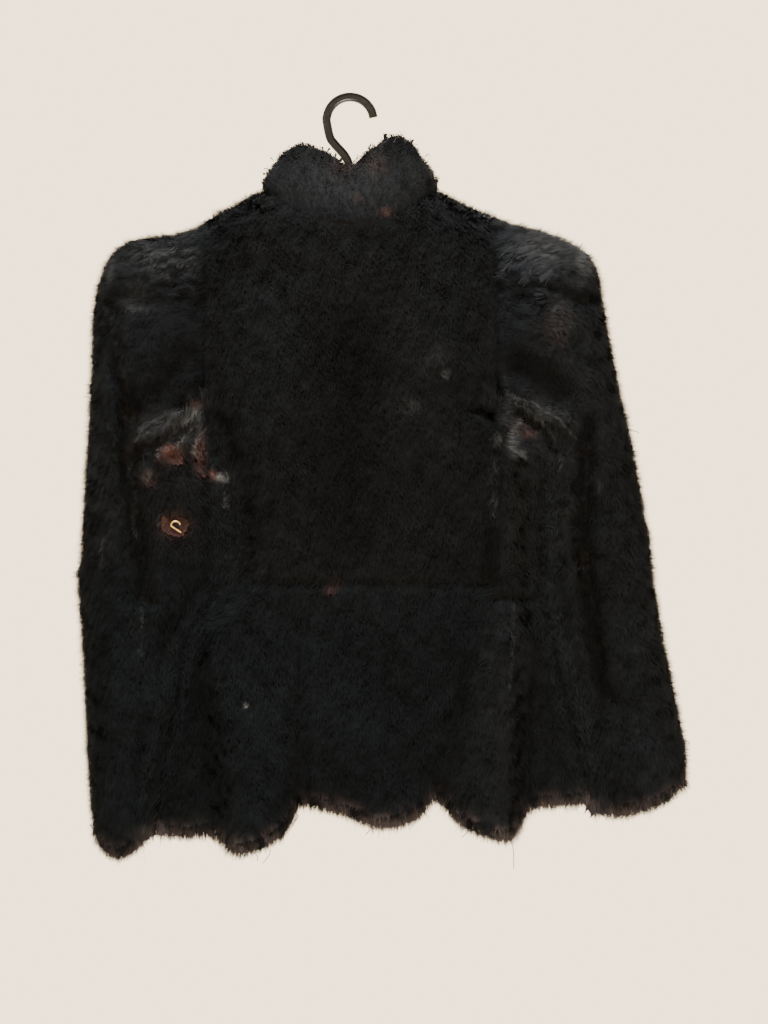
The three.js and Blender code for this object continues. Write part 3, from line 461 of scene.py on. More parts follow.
def feed(tree, node, values):
    # gives each socket a value of its own or a link
    for socket, value in values.items():
        if isinstance(value, bpy.types.NodeSocket):
            tree.links.new(value, node.inputs[socket])
        else:
            node.inputs[socket].default_value = value


def mixColor(tree, factor, a, b, blend="MIX"):
    node = tree.nodes.new("ShaderNodeMix")
    node.data_type, node.blend_type = "RGBA", blend
    feed(tree, node, {0: factor, 6: a, 7: b})
    return node.outputs[2]


def product(tree, a, b):
    node = tree.nodes.new("ShaderNodeMath")
    node.operation = "MULTIPLY"
    feed(tree, node, {0: a, 1: b})
    return node.outputs[0]


def noiseOf(tree, scale, detail=3.0, low=0.35, high=0.65, out=(0.0, 1.0)):
    place = tree.nodes.new("ShaderNodeTexCoord")
    noise = tree.nodes.new("ShaderNodeTexNoise")
    feed(tree, noise, {"Scale": scale, "Detail": detail, "Vector": place.outputs["Object"]})
    spread = tree.nodes.new("ShaderNodeMapRange")
    feed(tree, spread, {"Value": noise.outputs["Fac"], "From Min": low, "From Max": high,
                        "To Min": out[0], "To Max": out[1]})
    return spread.outputs["Result"]


def bumpOf(tree, height, strength, distance):
    bump = tree.nodes.new("ShaderNodeBump")
    feed(tree, bump, {"Height": height, "Strength": strength, "Distance": distance})
    return bump.outputs["Normal"]


def attributeOf(tree, label, output):
    node = tree.nodes.new("ShaderNodeAttribute")
    node.attribute_name = label
    return node.outputs[output]


furLook = {
    # each fur's roots are darker than its tips: painted shade deep in the pile
    "fur_black": {"root": (0.0006, 0.0007, 0.0009, 1), "tip": (0.0047, 0.0060, 0.0080, 1)},
    "fur_brown": {"root": (0.0006, 0.0007, 0.0008, 1), "tip": (0.0037, 0.0046, 0.0059, 1)},
    "fur_cool": {"root": (0.0005, 0.0007, 0.0009, 1), "tip": (0.0034, 0.0050, 0.0067, 1)},
    # the grey stands both for faded hair and for painted highlight
    "grey": (0.14, 0.150, 0.162, 1), "pink": (0.085, 0.042, 0.038, 1),
    "brown": (0.0072, 0.0076, 0.0074, 1),
    "mottle": (0.3, 0.7, (0.75, 1.3)), "tufts": 95, "patches": 14,
    "roughness": 0.8, "specular": 0.06,
    "sheen": 0.012, "sheenRoughness": 0.45, "sheenTint": (0.62, 0.62, 0.64, 1),
}


def furMaterial(name):
    material, tree, shader = nodeMaterial(name)
    look = furLook[name]
    tip = attributeOf(tree, "tip", "Fac")
    split = tree.nodes.new("ShaderNodeSeparateColor")
    feed(tree, split, {0: attributeOf(tree, "wearAndHighlights", "Color")})
    # painted shade: darker towards the roots of the hairs
    base = mixColor(tree, tip, look["root"], look["tip"])
    shade = product(tree, noiseOf(tree, furLook["tufts"], 2, *furLook["mottle"]),
                    noiseOf(tree, furLook["patches"], 3, *furLook["mottle"]))
    gray = tree.nodes.new("ShaderNodeCombineColor")
    feed(tree, gray, {0: shade, 1: shade, 2: shade})
    base = mixColor(tree, 1.0, base, gray.outputs[0], "MULTIPLY")
    # grey, pink and brown by their shares; the grey is partly painted highlight
    for k, label in ((2, "brown"), (1, "pink"), (0, "grey")):
        base = mixColor(tree, product(tree, tip, split.outputs[k]), base, furLook[label])
    feed(tree, shader, {"Base Color": base, "Roughness": furLook["roughness"],
                        "Specular IOR Level": furLook["specular"], "Sheen Weight": furLook["sheen"],
                        "Sheen Roughness": furLook["sheenRoughness"],
                        "Sheen Tint": furLook["sheenTint"]})
    return material


leatherLook = {
    "bare": {"a": (0.012, 0.0044, 0.0040, 1), "b": (0.032, 0.0135, 0.0115, 1),
             "stain": (0.004, 0.0024, 0.0024, 1)},
    "dyed": {"a": (0.0025, 0.0022, 0.0022, 1), "b": (0.005, 0.004, 0.004, 1),
             "stain": (0.0015, 0.0013, 0.0013, 1)},
    "specular": 0.12, "roughness": (0.7, 0.9), "grain": (0.5, 0.0006),
}


def leatherMaterial(name, kind):
    # tanned hide, bare where the fur is gone and dyed dark elsewhere, mottled, with a fine grain
    material, tree, shader = nodeMaterial(name)
    look = leatherLook[kind]
    base = mixColor(tree, noiseOf(tree, 120, 4), look["a"], look["b"])
    base = mixColor(tree, noiseOf(tree, 60, 4, 0.45, 0.7), base, look["stain"])
    feed(tree, shader, {"Base Color": base, "Specular IOR Level": leatherLook["specular"],
                        "Roughness": noiseOf(tree, 300, 2, 0.3, 0.7, leatherLook["roughness"]),
                        "Normal": bumpOf(tree, noiseOf(tree, 900, 3, 0.2, 0.8), *leatherLook["grain"])})
    return material


plasticLook = {"a": (0.0015, 0.0015, 0.0017, 1), "b": (0.005, 0.005, 0.0055, 1),
               "specular": 0.16, "roughness": (0.2, 0.42), "grain": (0.15, 0.0003)}


def plasticMaterial():
    # moulded black plastic, a little scuffed
    material, tree, shader = nodeMaterial("hanger_plastic")
    look = plasticLook
    base = mixColor(tree, noiseOf(tree, 60, 4, 0.4, 0.7), look["a"], look["b"])
    feed(tree, shader, {"Base Color": base, "Specular IOR Level": look["specular"],
                        "Roughness": noiseOf(tree, 220, 4, 0.3, 0.75, look["roughness"]),
                        "Normal": bumpOf(tree, noiseOf(tree, 700, 2, 0.3, 0.7), *look["grain"])})
    return material


brassLook = {"clean": (0.52, 0.36, 0.13, 1), "dull": (0.24, 0.16, 0.07, 1),
             "roughness": (0.22, 0.42)}


def brassMaterial():
    material, tree, shader = nodeMaterial("hook_brass")
    base = mixColor(tree, noiseOf(tree, 800, 4), brassLook["clean"], brassLook["dull"])
    feed(tree, shader, {"Base Color": base, "Metallic": 1.0,
                        "Roughness": noiseOf(tree, 1500, 3, 0.3, 0.7, brassLook["roughness"])})
    return material


finishes = {label: furMaterial(label) for label in ("fur_black", "fur_brown", "fur_cool")}
hide = leatherMaterial("hide", "dyed")
tornHide = leatherMaterial("torn_hide", "bare")


def dress(piece, material, replaced=None):
    piece.data.materials.append(material)
    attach(piece, root)
    if replaced:
        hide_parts(replaced)


# where the fur is worn, faded or dusty, and where highlights are painted on it, by place on the back: x,
# z, half width, half height, amount
wearAndHighlights = {
    # the grey is faded hair, lint and the hem's wear, and also painted highlight: the broad patches over
    # the collar and upper back, and those on the sleeve heads and under the arms
    "grey": [
        (-2, -66, 14, 9, 0.22), (14, -72, 12, 10, 0.15), (28, -62, 8, 14, 0.14),
        (-30, -62, 22, 14, 0.07), (0, -86, 84, 34, 0.082), (0, -160, 150, 60, 0.012),
        (215, -300, 50, 90, 0.024), (66, -72, 8, 12, 0.08), (236, -166, 9, 17, 0.21),
        (228, -188, 10, 7, 0.12), (-186, -164, 34, 22, 0.05), (196, -156, 34, 20, 0.04),
        (-214, -206, 16, 14, 0.13), (-242, -176, 6, 16, 0.14), (-176, -330, 30, 17, 0.11),
        (-218, -350, 4, 10, 0.34), (-178, -349, 8, 3, 0.50), (-198, -378, 6, 6, 0.20),
        (-126, -380, 6, 4, 1.0), (-152, -318, 6, 9, 0.26), (-151, -354, 2.5, 13, 0.34),
        (-186, -424, 4, 8, 0.22), (158, -316, 10, 13, 0.12), (164, -337, 7, 14, 0.18),
        (170, -355, 8, 6, 0.18), (182, -318, 18, 8, 0.12), (146, -342, 4, 5, 0.32),
        (246, -389, 4, 6, 0.12), (95, -278, 4, 5, 0.15), (88, -262, 16, 9, 0.04),
        (60, -310, 14, 8, 0.07), (-178, -731, 30, 6, 0.22), (214, -703, 28, 6, 0.24),
        (-102, -604, 2.2, 2.2, 1.0), (210, -226, 14, 30, 0.07), (-90, -152, 10, 8, 0.06),
    ],
    "pink": [
        (-6, -72, 12, 7, 0.20), (7, -101, 5, 4, 0.20), (37, -114, 8, 5, 0.42), (26, -70, 10, 8, 0.16),
        (-19, -490, 6, 5, 0.50), (-12, -484, 5, 4, 0.25), (180, -335, 8, 5, 0.34),
        (172, -330, 12, 9, 0.14), (-176, -357, 12, 9, 0.60), (-148, -358, 6, 19, 0.50),
        (-198, -382, 7, 8, 0.30), (-173, -427, 14, 12, 0.50), (-134, -377, 6, 5, 0.75),
        (-178, -733, 28, 6, 0.32), (214, -705, 27, 6, 0.34), (-154, -308, 8, 5, 0.30),
        (206, -232, 14, 20, 0.10), (208, -244, 10, 8, 0.12),
    ],
    "brown": [
        (50, -330, 90, 150, 0.22), (110, -420, 70, 70, 0.15), (215, -300, 60, 80, 0.3),
        (250, -420, 60, 160, 0.22), (20, -470, 110, 34, 0.4), (-20, -505, 60, 30, 0.25),
        (-190, -395, 60, 50, 0.35), (165, -400, 22, 80, 0.4), (214, -430, 20, 80, 0.35),
        (158, -600, 24, 110, 0.25),
    ],
}
# thin ridges of painted highlight where the folds' edges catch the light, as the lines that they follow:
# points, width, amount
highlightRidges = [
    ([(-158, -311), (-172, -314), (-187, -320), (-201, -327)], 1.5, 0.16),
    ([(-149, -314), (-161, -324), (-175, -338), (-185, -347), (-191, -358)], 1.7, 0.30),
    ([(-150, -327), (-160, -336), (-168, -343), (-176, -347)], 1.5, 0.26),
    ([(-152, -320), (-168, -330), (-182, -340)], 1.3, 0.16),
    ([(-156, -316), (-176, -330), (-190, -344)], 1.2, 0.12),
    ([(-209, -318), (-208, -339), (-217, -347), (-219, -359), (-218, -374), (-214, -390),
      (-213, -410), (-214, -429), (-209, -441)], 1.7, 0.24),
    ([(-246, -204), (-238, -226), (-232, -246), (-228, -262), (-219, -300)], 1.6, 0.14),
    ([(-124, -395), (-122, -408)], 1.6, 0.20), ([(-204, -352), (-198, -356)], 1.5, 0.2),
    ([(155, -294), (174, -311), (191, -325), (204, -339)], 2.2, 0.24),
    ([(177, -315), (166, -328), (161, -343), (167, -354), (176, -360)], 2.4, 0.36),
    ([(164, -300), (186, -308), (208, -321), (222, -340)], 1.6, 0.16),
    ([(196, -330), (206, -352), (208, -372)], 1.5, 0.12),
    ([(142, -360), (141, -390), (142, -418)], 1.3, 0.20),
    ([(234, -346), (235, -372), (233, -402)], 1.3, 0.14), ([(156, -280), (156, -298)], 1.3, 0.14),
    ([(226, -196), (212, -206), (200, -214)], 1.8, 0.18), ([(-204, -490), (-206, -560)], 1.2, 0.08),
    ([(163, -500), (160, -560), (162, -620)], 1.3, 0.07), ([(-245, -440), (-246, -470)], 1.2, 0.1),
]
# painted highlight in streaks on the creased hair of the sleeve heads and under the arms: middle, half
# size, slant, spacing, amount
creaseHighlights = [
    (-186, -162, 38, 24, 0.36, 6.0, 0.13), (186, -156, 32, 24, 0.44, 6.0, 0.12),
    (-181, -331, 34, 19, -0.62, 5.2, 0.19), (190, -322, 30, 18, 0.78, 5.6, 0.17),
]
# where the hair is combed aside: middle, half size, degrees towards the photograph's right
combed = [
    (-181, -331, 40, 24, -52), (188, -322, 38, 24, 48), (-186, -162, 44, 28, 46),
    (188, -158, 38, 28, 42), (164, -348, 12, 14, 40), (-172, -426, 18, 14, -25),
]


def patchAt(p, px, pz, rx, rz, power=2):
    # 1 at the middle of a place on the back, and less away from it
    return np.exp(-(((p[:, 0] - px) / rx) ** 2 + ((p[:, 2] - pz) / rz) ** 2) ** power)


def wearAndHighlightsAt(p, facing):
    # grey, pink and brown shares at each place, the grey partly painted highlight. Only what faces the
    # back gets them.
    x, z = p[:, 0], p[:, 2]
    broken = smooth(0.55 + 0.45 * waves(p, 7, 3))
    soft = smooth(0.6 + 0.3 * waves(p, 40, 4))
    shares = []
    for label in ("grey", "pink", "brown"):
        total = np.zeros(len(p))
        for *spot, amount in wearAndHighlights[label]:
            total = np.maximum(total, amount * patchAt(p, *spot, 1.3))
        shares.append(total * (soft if label == "brown" else mix(0.45, 1.1, broken)))
    for line, width, amount in highlightRidges:
        for start, end in zip(line, line[1:]):
            ridge = foldsAt([(*start, *end, width, amount, 1)], x + 1.2 * waves(p, 11, 31), z)
            shares[0] = np.maximum(shares[0], ridge * mix(0.5, 1.2, broken))
    for *spot, slant, spacing, amount in creaseHighlights:
        wavered = z + slant * x + 3.4 * waves(p, 24, 32) + 0.8 * waves(p, 8, 35)
        line = smooth((np.sin(2 * np.pi * wavered / spacing) + 0.1) / 1.1)
        line *= smooth(0.4 + 0.7 * waves(p, 11, 33))
        shares[0] = np.maximum(shares[0], amount * patchAt(p, *spot) * line)
    return [np.clip(s * facing, 0, 1) for s in shares]


# fur as single tapering blades, each rooted near the hide
furMake = {
    "density": 1.53,  # blades a square millimetre on what faces the back
    "hiddenShare": 0.17, "hiddenWidth": 2.7,
    "width": 0.80, "depth": 7.4, "lean": 42, "leanSpread": 7.5, "swerve": 15, "twist": 26,
    "clump": 0.62, "clumpSize": 8, "fineClump": 0.45, "fineClumpSize": 4,
    "lengthSpread": 0.12, "relief": 0.4, "edgeRelief": 1.3,
    # degrees that hairs lean less or more: stray ones, on a shoulder, at a rim, a few anywhere
    "strayLean": 34, "shoulderLean": 22, "rimLean": 14, "fewLean": 12, "fewShare": 0.15,
    "smoothness": 0.92,  # how far a blade's shading follows the pelt and not the blade
    "scatter": 0.045,  # how far the blades' shading differs
    "bridge": (25.0, 14.0),  # depth where pile meets between sleeve and body, above and below the waist
    "mingle": 5.5,  # how far hairs of either reach into the other there
    "backing": 5.0,  # how much wider they are there at the front, so that no wall shows between
    "standing": (0.055, 0.36), "stray": (2.6, 4.8),  # stray hairs, on the flat and at an outline
    "tuft": 2.6, "fringe": 7.5,  # how far tufts rise on the shoulders, and hairs hang past a hem
    "ragged": 4.0,  # how far hairs cross a seam
    "tornLeft": 0.16,  # share of the hairs that a torn place keeps
    "hemPink": 0.40, "hemGrey": 0.23,  # how faded the hem's hairs are
}
trianglesGrown = {}


def scattered(facts, share, rim):
    # what a grid says at the roots of its blades, fewer where the photograph doesn't look
    seen = smooth((0.45 - facts["normal"][..., 1]) / 0.5)
    seenCell = (seen[1:, :-1] + seen[:-1, 1:]) / 2
    weight = (cellAreas(facts["points"]) * mix(furMake["hiddenShare"], 1, seenCell)).ravel()
    count = int(weight.sum() * furMake["density"] * share)
    pick = np.searchsorted(np.cumsum(weight), dice.random(count) * weight.sum())
    j, i = np.divmod(np.minimum(pick, weight.size - 1), seenCell.shape[1])
    s, t = dice.random(count), dice.random(count)

    def at(values):
        extra = (1,) * (values.ndim - 2)
        u, v = s.reshape(-1, *extra), t.reshape(-1, *extra)
        upper = mix(values[j, i], values[j, i + 1], u)
        return mix(upper, mix(values[j + 1, i], values[j + 1, i + 1], u), v)

    return {k: at(facts[k]) for k in facts} | {"seen": at(seen), "rim": np.full(count, rim)}


def withoutTorn(place):
    # torn places have lost most of their fur, with a ragged edge
    p = place["points"]
    keep = np.ones(len(p), bool)
    x = p[:, 0] + 1.3 * waves(p, 4.5, 5) + dice.normal(0, 0.7, len(p))
    z = p[:, 2] - 1.0 + 1.3 * waves(p, 4.5, 15) + dice.normal(0, 0.9, len(p))
    for outline in tornOutlines:
        left = dice.random(len(p)) < furMake["tornLeft"]
        keep &= ~insideOutline(x, z, outline) | (place["normal"][:, 1] > 0) | left
    return {k: v[keep] for k, v in place.items()}


def bridged(place):
    # between sleeve and body the pile meets, and its surface bridges the groove
    p, n, near = place["points"], unit(place["normal"]), np.clip(place["close"], 0, 1)
    facing = np.where(p[:, 1] < 0, -1.0, 1.0)
    p = p + n * (near * dice.uniform(0, furMake["mingle"], len(p)))[:, None]
    level = near * mix(*furMake["bridge"], goreShareAt(p[:, 2])) * (1 + 0.07 * waves(p, 12, 71))
    p[:, 1] = facing * (p[:, 1] ** 6 + level ** 6) ** (1 / 6)
    n = unit(mix(n, facing[:, None] * np.array([0, 1.0, 0]), 0.8 * near[:, None]))
    seen = np.where(facing < 0, np.maximum(place["seen"], near), place["seen"])
    return p, n, near, facing, seen


def growthOf(place, p, n, d, aside, strays, lean, upward):
    # the way each hair grows out of the hide, and its lean
    make, count = furMake, len(p)
    degrees = lean + dice.normal(0, make["leanSpread"], count) - make["strayLean"] * strays
    degrees += (0 if upward else make["shoulderLean"]) * smooth(n[:, 2]) - make["rimLean"] * place["rim"]
    degrees += 5 * waves(p, 22, 8) - make["fewLean"] * (dice.random(count) < make["fewShare"])
    leanNow = np.radians(degrees)
    swerve = dice.normal(0, make["swerve"], count) + 16 * waves(p, 18, 9)
    for *spot, turn in combed:
        swerve += turn * patchAt(p, *spot)
    swerve = np.radians(swerve)
    nap = d * np.cos(swerve)[:, None] + aside * np.sin(swerve)[:, None]
    if upward:
        # the collar's fur stands, and turns up and over its top edge
        nap = nap * mix(-0.9, 0.9, smooth(place["toEnd"] / 26))[:, None]
        nap = unit(nap + dice.normal(0, 0.35, (count, 3)))
    return unit(n * np.cos(leanNow)[:, None] + nap * np.sin(leanNow)[:, None]), leanNow


def tipsOf(place, p, n, d, aside, lift, calm):
    # where each hair ends, gathered into tufts, ragged at a seam and hanging past a hem
    make, count = furMake, len(p)
    lift += dice.uniform(0, 1, count) * make["fringe"] * place["rim"]
    tip = p + n * lift[:, None] + make["clump"] * drift(p, make["clumpSize"], 21)
    tip += make["fineClump"] * drift(p, make["fineClumpSize"], 22)
    loose = make["ragged"] * np.exp(-(place["edge"] / 5) ** 2) * calm
    for direction in (d, aside):
        tip += direction * (dice.normal(0, 1, count) * loose)[:, None]
    hanging = make["fringe"] * np.exp(-(place["toEnd"] / 6) ** 2) * place["fringe"] * (place["rim"] == 0)
    return tip + d * (dice.uniform(0, 1, count) * hanging)[:, None]


def bladesOf(base, way, n, tip, width, wider):
    # three corners each, wound to face outwards, and the way each blade faces
    count = len(base)
    twist = np.radians(dice.normal(0, furMake["twist"], count))
    flat = unit(np.cross(way, n) + 1e-6)
    across = flat * np.cos(twist)[:, None] + n * np.sin(twist)[:, None]
    half = across * ((width * dice.uniform(0.7, 1.3, count) + wider) / 2)[:, None]
    corners = np.stack([base - half, base + half, tip], 1)
    face = unit(np.cross(corners[:, 1] - corners[:, 0], corners[:, 2] - corners[:, 0]))
    inward = (face * n).sum(1) < 0
    corners[inward] = corners[inward][:, [1, 0, 2]]
    face[inward] *= -1
    return corners, face


def tintsOf(place, p, n, near, ridge):
    # how far along its hair each blade is painted as lit, its tone with painted shade and highlight, and
    # its grey, pink and brown shares
    grey, pink, brown = wearAndHighlightsAt(p, smooth((0.5 - n[:, 1]) / 0.6))
    seamShade = np.exp(-((place["seam"] + 0.8 * waves(p, 12, 41)) / 2.4) ** 2)
    # painted shade along the seams and in the creases of the folds, and painted highlight on the folds'
    # tops
    tone = mix(1, 0.93, seamShade) * np.clip(1 + 0.11 * place["form"], 0.2, 1.8)
    # painted highlight on the tops of the shoulders, and painted shade where sleeve and body nearly touch
    tone *= (1 + 0.8 * ridge) * mix(1, 0.85, near)
    hem = np.exp(-(place["toEnd"] / 9.0) ** 2) * smooth(0.7 + 0.45 * waves(p, 16, 12)) * place["fringe"]
    pink, grey = np.maximum(pink, furMake["hemPink"] * hem), np.maximum(grey, furMake["hemGrey"] * hem)
    # painted light: where the fur faces up, and where sleeve and body meet, its roots are painted nearly
    # as light as its tips, as if lit along the hairs
    fromRoot = 0.75 * np.maximum(smooth((n[:, 2] - 0.12) / 0.4), 0.8 * near)
    shade = np.stack([fromRoot, fromRoot, mix(0.92, 1.06, dice.random(len(p))) * tone], 1)
    return shade, np.repeat(np.stack([grey, pink, brown, np.ones(len(p))], 1)[:, None], 3, 1)


def growFur(name, grids, look, depth=furMake["depth"], lean=furMake["lean"], upward=False, torn=False):
    # each grid comes with its share of the density and how far it is a rim
    make = furMake
    lots = [scattered(*grid) for grid in grids]
    place = {k: np.concatenate([lot[k] for lot in lots]) for k in lots[0]}
    if torn:
        place = withoutTorn(place)
    p, n, near, facing, seen = bridged(place)
    d, count = unit(place["down"]), len(p)
    aside = np.cross(n, d)
    calm = 0.3 if upward else 1
    edgeOn = smooth((0.6 - np.abs(n[:, 1])) / 0.5)
    standing = dice.random(count) < mix(*make["standing"], edgeOn)
    way, leanNow = growthOf(place, p, n, d, aside, edgeOn * standing, lean, upward)
    deep = depth * (1 + dice.normal(0, make["lengthSpread"], count))
    length = deep / np.maximum(np.cos(leanNow), 0.5)
    lift = make["relief"] * waves(p, 14, 6) + make["edgeRelief"] * edgeOn * waves(p, 9, 62)
    lift += standing * dice.uniform(0.4, 1, count) * mix(*make["stray"], edgeOn) * calm
    ridge = smooth((n[:, 2] - 0.3) / 0.5) * (0 if upward else 1) * smooth((np.abs(p[:, 0]) - 78) / 14)
    lift += make["tuft"] * ridge * np.clip(0.25 + 0.6 * waves(p, 9, 61), 0, 1)
    tip = tipsOf(place, p, n, d, aside, lift, calm)
    base = p - way * length[:, None] + n * np.minimum(lift, 0)[:, None]
    width = mix(make["hiddenWidth"], make["width"], seen)
    wider = near * np.where(facing > 0, make["backing"], 0.6)
    corners, face = bladesOf(base, way, n, tip, width, wider)
    shading = unit(mix(face, n, make["smoothness"]) + dice.normal(0, make["scatter"], (count, 3)))
    shade, tint = tintsOf(place, p, n, near, ridge)
    faces = np.arange(count * 3).reshape(-1, 3)
    piece = meshPiece(name, corners.reshape(-1, 3), faces,
                      [("tip", "FLOAT", shade), ("wearAndHighlights", "FLOAT_COLOR", tint)])
    piece.data.normals_split_custom_set_from_vertices(np.repeat(shading, 3, 0).astype(np.float32))
    dress(piece, finishes[look])
    trianglesGrown[name] = count
    return piece


def rimFacts(outerRow, innerRow, way):
    # the thickness of an edge, as a narrow grid that faces the way the edge does
    t = np.linspace(0, 1, 4)[:, None, None]
    points = mix(outerRow[None], innerRow[None], t)
    inner = unit(innerRow - outerRow)[None] + 0 * points
    zero = np.zeros(points.shape[:2])
    return {"points": points, "normal": unit(way - 1.1 * (1 - t) * inner), "down": inner,
            "toEnd": zero + 2, "edge": zero + farAway, "seam": zero + farAway, "form": zero,
            "close": zero, "fringe": zero + 1}


def hemmed(facts, innerRow):
    # the fur of a grid and of the hem at its end
    rim = rimFacts(facts["points"][-1], innerRow, np.array([0, 0, -1.0]))
    return [(facts, 1.0, 0.0), (rim, 1.3, 1.0)]


hideMake = {
    "depths": (8.4, 9.9), "rim": 9.5,  # how far under the fur it lies, and the depth of a hem's fur
    "under": 1.8, "above": 5.0,  # how deep a tucked edge lies under its neighbour, and a top's tuck
    "short": 6.0,  # how far it stops short of the fur at a hem
    "core": (-85, 95, -150),  # a body's middle: its left and right limits, and its top
}


def bodyFacts(points):
    left, right, top = hideMake["core"]
    x, y, z = (points[..., k] for k in range(3))
    return gridFacts(points, np.stack([np.clip(x, left, right), 0 * y, np.minimum(z, top)], -1), False)


def closeAt(z, inset):
    # 1 where the body's side and a sleeve nearly touch
    return smooth((armpit + 26 - z) / 20) * smooth((20 - inset) / 9)


def sideInset(points):
    x, z = points[..., 0], points[..., 2]
    return np.abs(sideAt(x, z)) - np.abs(x)


def hemShort(rows, span=6):
    return hideMake["short"] * smooth(1 - (rows - 1 - np.arange(rows)) / span)[:, None]


def hideBetween(name, outer, inner, closed, look):
    points, faces = wallBetween(outer, inner, closed)
    piece = meshPiece(name + "_hide", points, faces)
    shadeSmooth(piece)
    dress(piece, hide, name)
    flat = [np.linalg.norm(np.diff(outer, axis=k), axis=-1).sum(k).max() / 1000 for k in (1, 0)]
    area = cellAreas(outer).sum() / 1e6
    print(f"{name}: cut {flat[0]:.3f} x {flat[1]:.3f}, area {area:.4f}")
    return piece, flat, area


# the hanger: a moulded strip for the hook, and arms inside the shoulders
def sweep(path, section):
    # a solid along a path in the hanger's plane, from across and depth pairs
    path, ring = np.asarray(path, float), np.asarray(section, float)
    ahead = unit(np.gradient(path, axis=0))
    across = np.stack([ahead[:, 2], 0 * ahead[:, 1], -ahead[:, 0]], -1)
    points = path[:, None] + across[:, None] * ring[None, :, :1]
    points[..., 1] += ring[None, :, 1]
    i = np.arange(len(path) * len(ring)).reshape(len(path), len(ring))
    sides = quadsOf(np.concatenate([i, i[:, :1]], 1)).tolist()
    faces = sides + [i[0, ::-1].tolist(), i[-1].tolist()]
    return points.reshape(-1, 3), faces


def joinedSolids(name, solids):
    points, faces, first = [], [], 0
    for p, f in solids:
        points.append(p)
        faces += [tuple(first + k for k in face) for face in f]
        first += len(p)
    mesh = bpy.data.meshes.new(name)
    mesh.from_pydata((np.concatenate(points) * 0.001).tolist(), [], faces)
    mesh.update()
    piece = placed(name, mesh)
    bpy.context.view_layer.objects.active = piece
    piece.select_set(True)
    bpy.ops.object.mode_set(mode="EDIT")
    bpy.ops.mesh.select_all(action="SELECT")
    bpy.ops.mesh.normals_make_consistent(inside=False)
    bpy.ops.object.mode_set(mode="OBJECT")
    piece.select_set(False)
    return piece


hangerMake = {"radius": 23.5, "width": 8.5, "depth": 6.0, "rib": 1.7, "recess": 1.5,
              "tip": 7, "left": 196, "step": 13.5, "neckZ": -80.0, "armHeight": 11.0,
              "armThickness": 8.0, "reach": 126.0, "chamfer": 2.4, "bevel": 0.5, "bevelAngle": 50,
              "shoulderGap": 12.6}
# the hook's way from its bend down to the neck: x, z
hangerStem = [(-20.2, -36), (-16.2, -42.2), (-10.5, -48.5), (-5, -55), (-1.6, -62), (0, -70)]


def hangerHook(make):
    center = make["width"] / 2 - make["radius"]
    turns = np.radians(np.arange(make["tip"], make["left"], make["step"]))
    keys = [(make["radius"] * math.cos(a), center + make["radius"] * math.sin(a)) for a in turns]
    keys += hangerStem + [(0, make["neckZ"] - 4)]
    table = [(i, x, z) for i, (x, z) in enumerate(keys)]
    s = np.linspace(0, len(keys) - 1, 110)
    path = np.stack([curveAt(table, 1, s), 0 * s, curveAt(table, 2, s)], -1)
    w, d, rib, recess = make["width"] / 2, make["depth"] / 2, make["rib"], make["recess"]
    half = [(-w, -d), (-w + rib, -d), (-w + rib, -d + recess)]
    half += [(w - rib, -d + recess), (w - rib, -d), (w, -d)]
    return sweep(path, half + [(-a, -b) for a, b in half])


def hangerArms(make):
    x = np.linspace(-make["reach"], make["reach"], 60)
    h, t, r = make["armHeight"] / 2, make["armThickness"] / 2, make["chamfer"]
    neckEnd = neck["halfWidth"]
    beside = np.where(x < 0, np.minimum(x, -neckEnd), np.maximum(x, neckEnd))
    under = curveAt(shoulderLine, 1, beside) - (make["shoulderGap"] + seamGap + h)
    rising = mix(under, make["neckZ"] - h, smooth(1 - np.abs(x) / neckEnd))
    z = np.where(np.abs(x) < neckEnd, rising, under)
    half = [(-h, -t + r), (-h + r, -t), (h - r, -t), (h, -t + r)]
    return sweep(np.stack([x, 0 * x, z], -1), half + [(-a, -b) for a, b in half])


hanger = joinedSolids("hanger_moulding", [hangerHook(hangerMake), hangerArms(hangerMake)])
soften = hanger.modifiers.new("soft edges", "BEVEL")
soften.width, soften.segments = hangerMake["bevel"] / 1000, 2
soften.limit_method, soften.angle_limit = "ANGLE", math.radians(hangerMake["bevelAngle"])
dress(hanger, plasticMaterial(), "hanger")
print("hanger built")

# body panels. The ones without a top run to the shoulder, and the ones without an end to the hem.
# tuck is how far the hide reaches past each side seam.
panels = {
    "back_upper": {"lines": ("left flank", "right seam"), "end": waist + halfGap, "tuck": (6, 6),
                   "look": "fur_brown", "grid": (110, 84), "hangs": "hanger_moulding"},
    "back_side_right": {"lines": ("right seam", "right flank"), "top": -316,
                        "end": sideWaist + halfGap, "tuck": (6, 6),
                        "look": "fur_brown", "grid": (50, 20), "hangs": "back_upper_hide"},
    "back_lower_left": {"lines": ("left flank", "left seam"), "top": waist - halfGap,
                        "tuck": (6, 3),
                        "look": "fur_cool", "grid": (70, 36), "hangs": "back_upper_hide"},
    "back_lower_center": {"lines": ("left seam", "right seam"), "top": waist - halfGap,
                          "tuck": (3, 3),
                          "look": "fur_cool", "grid": (64, 54), "hangs": "back_upper_hide"},
    "back_lower_right": {"lines": ("right seam", "right flank"), "top": sideWaist - halfGap,
                         "tuck": (3, 6),
                         "look": "fur_black", "grid": (64, 36), "hangs": "back_side_right_hide"},
    "front_left": {"lines": ("left flank", "middle"), "back": False, "tuck": (6, 0.6),
                   "look": "fur_black", "grid": (130, 44), "hangs": "hanger_moulding"},
    "front_right": {"lines": ("middle", "right flank"), "back": False, "tuck": (0.6, 6),
                    "look": "fur_black", "grid": (130, 44), "hangs": "hanger_moulding"},
}


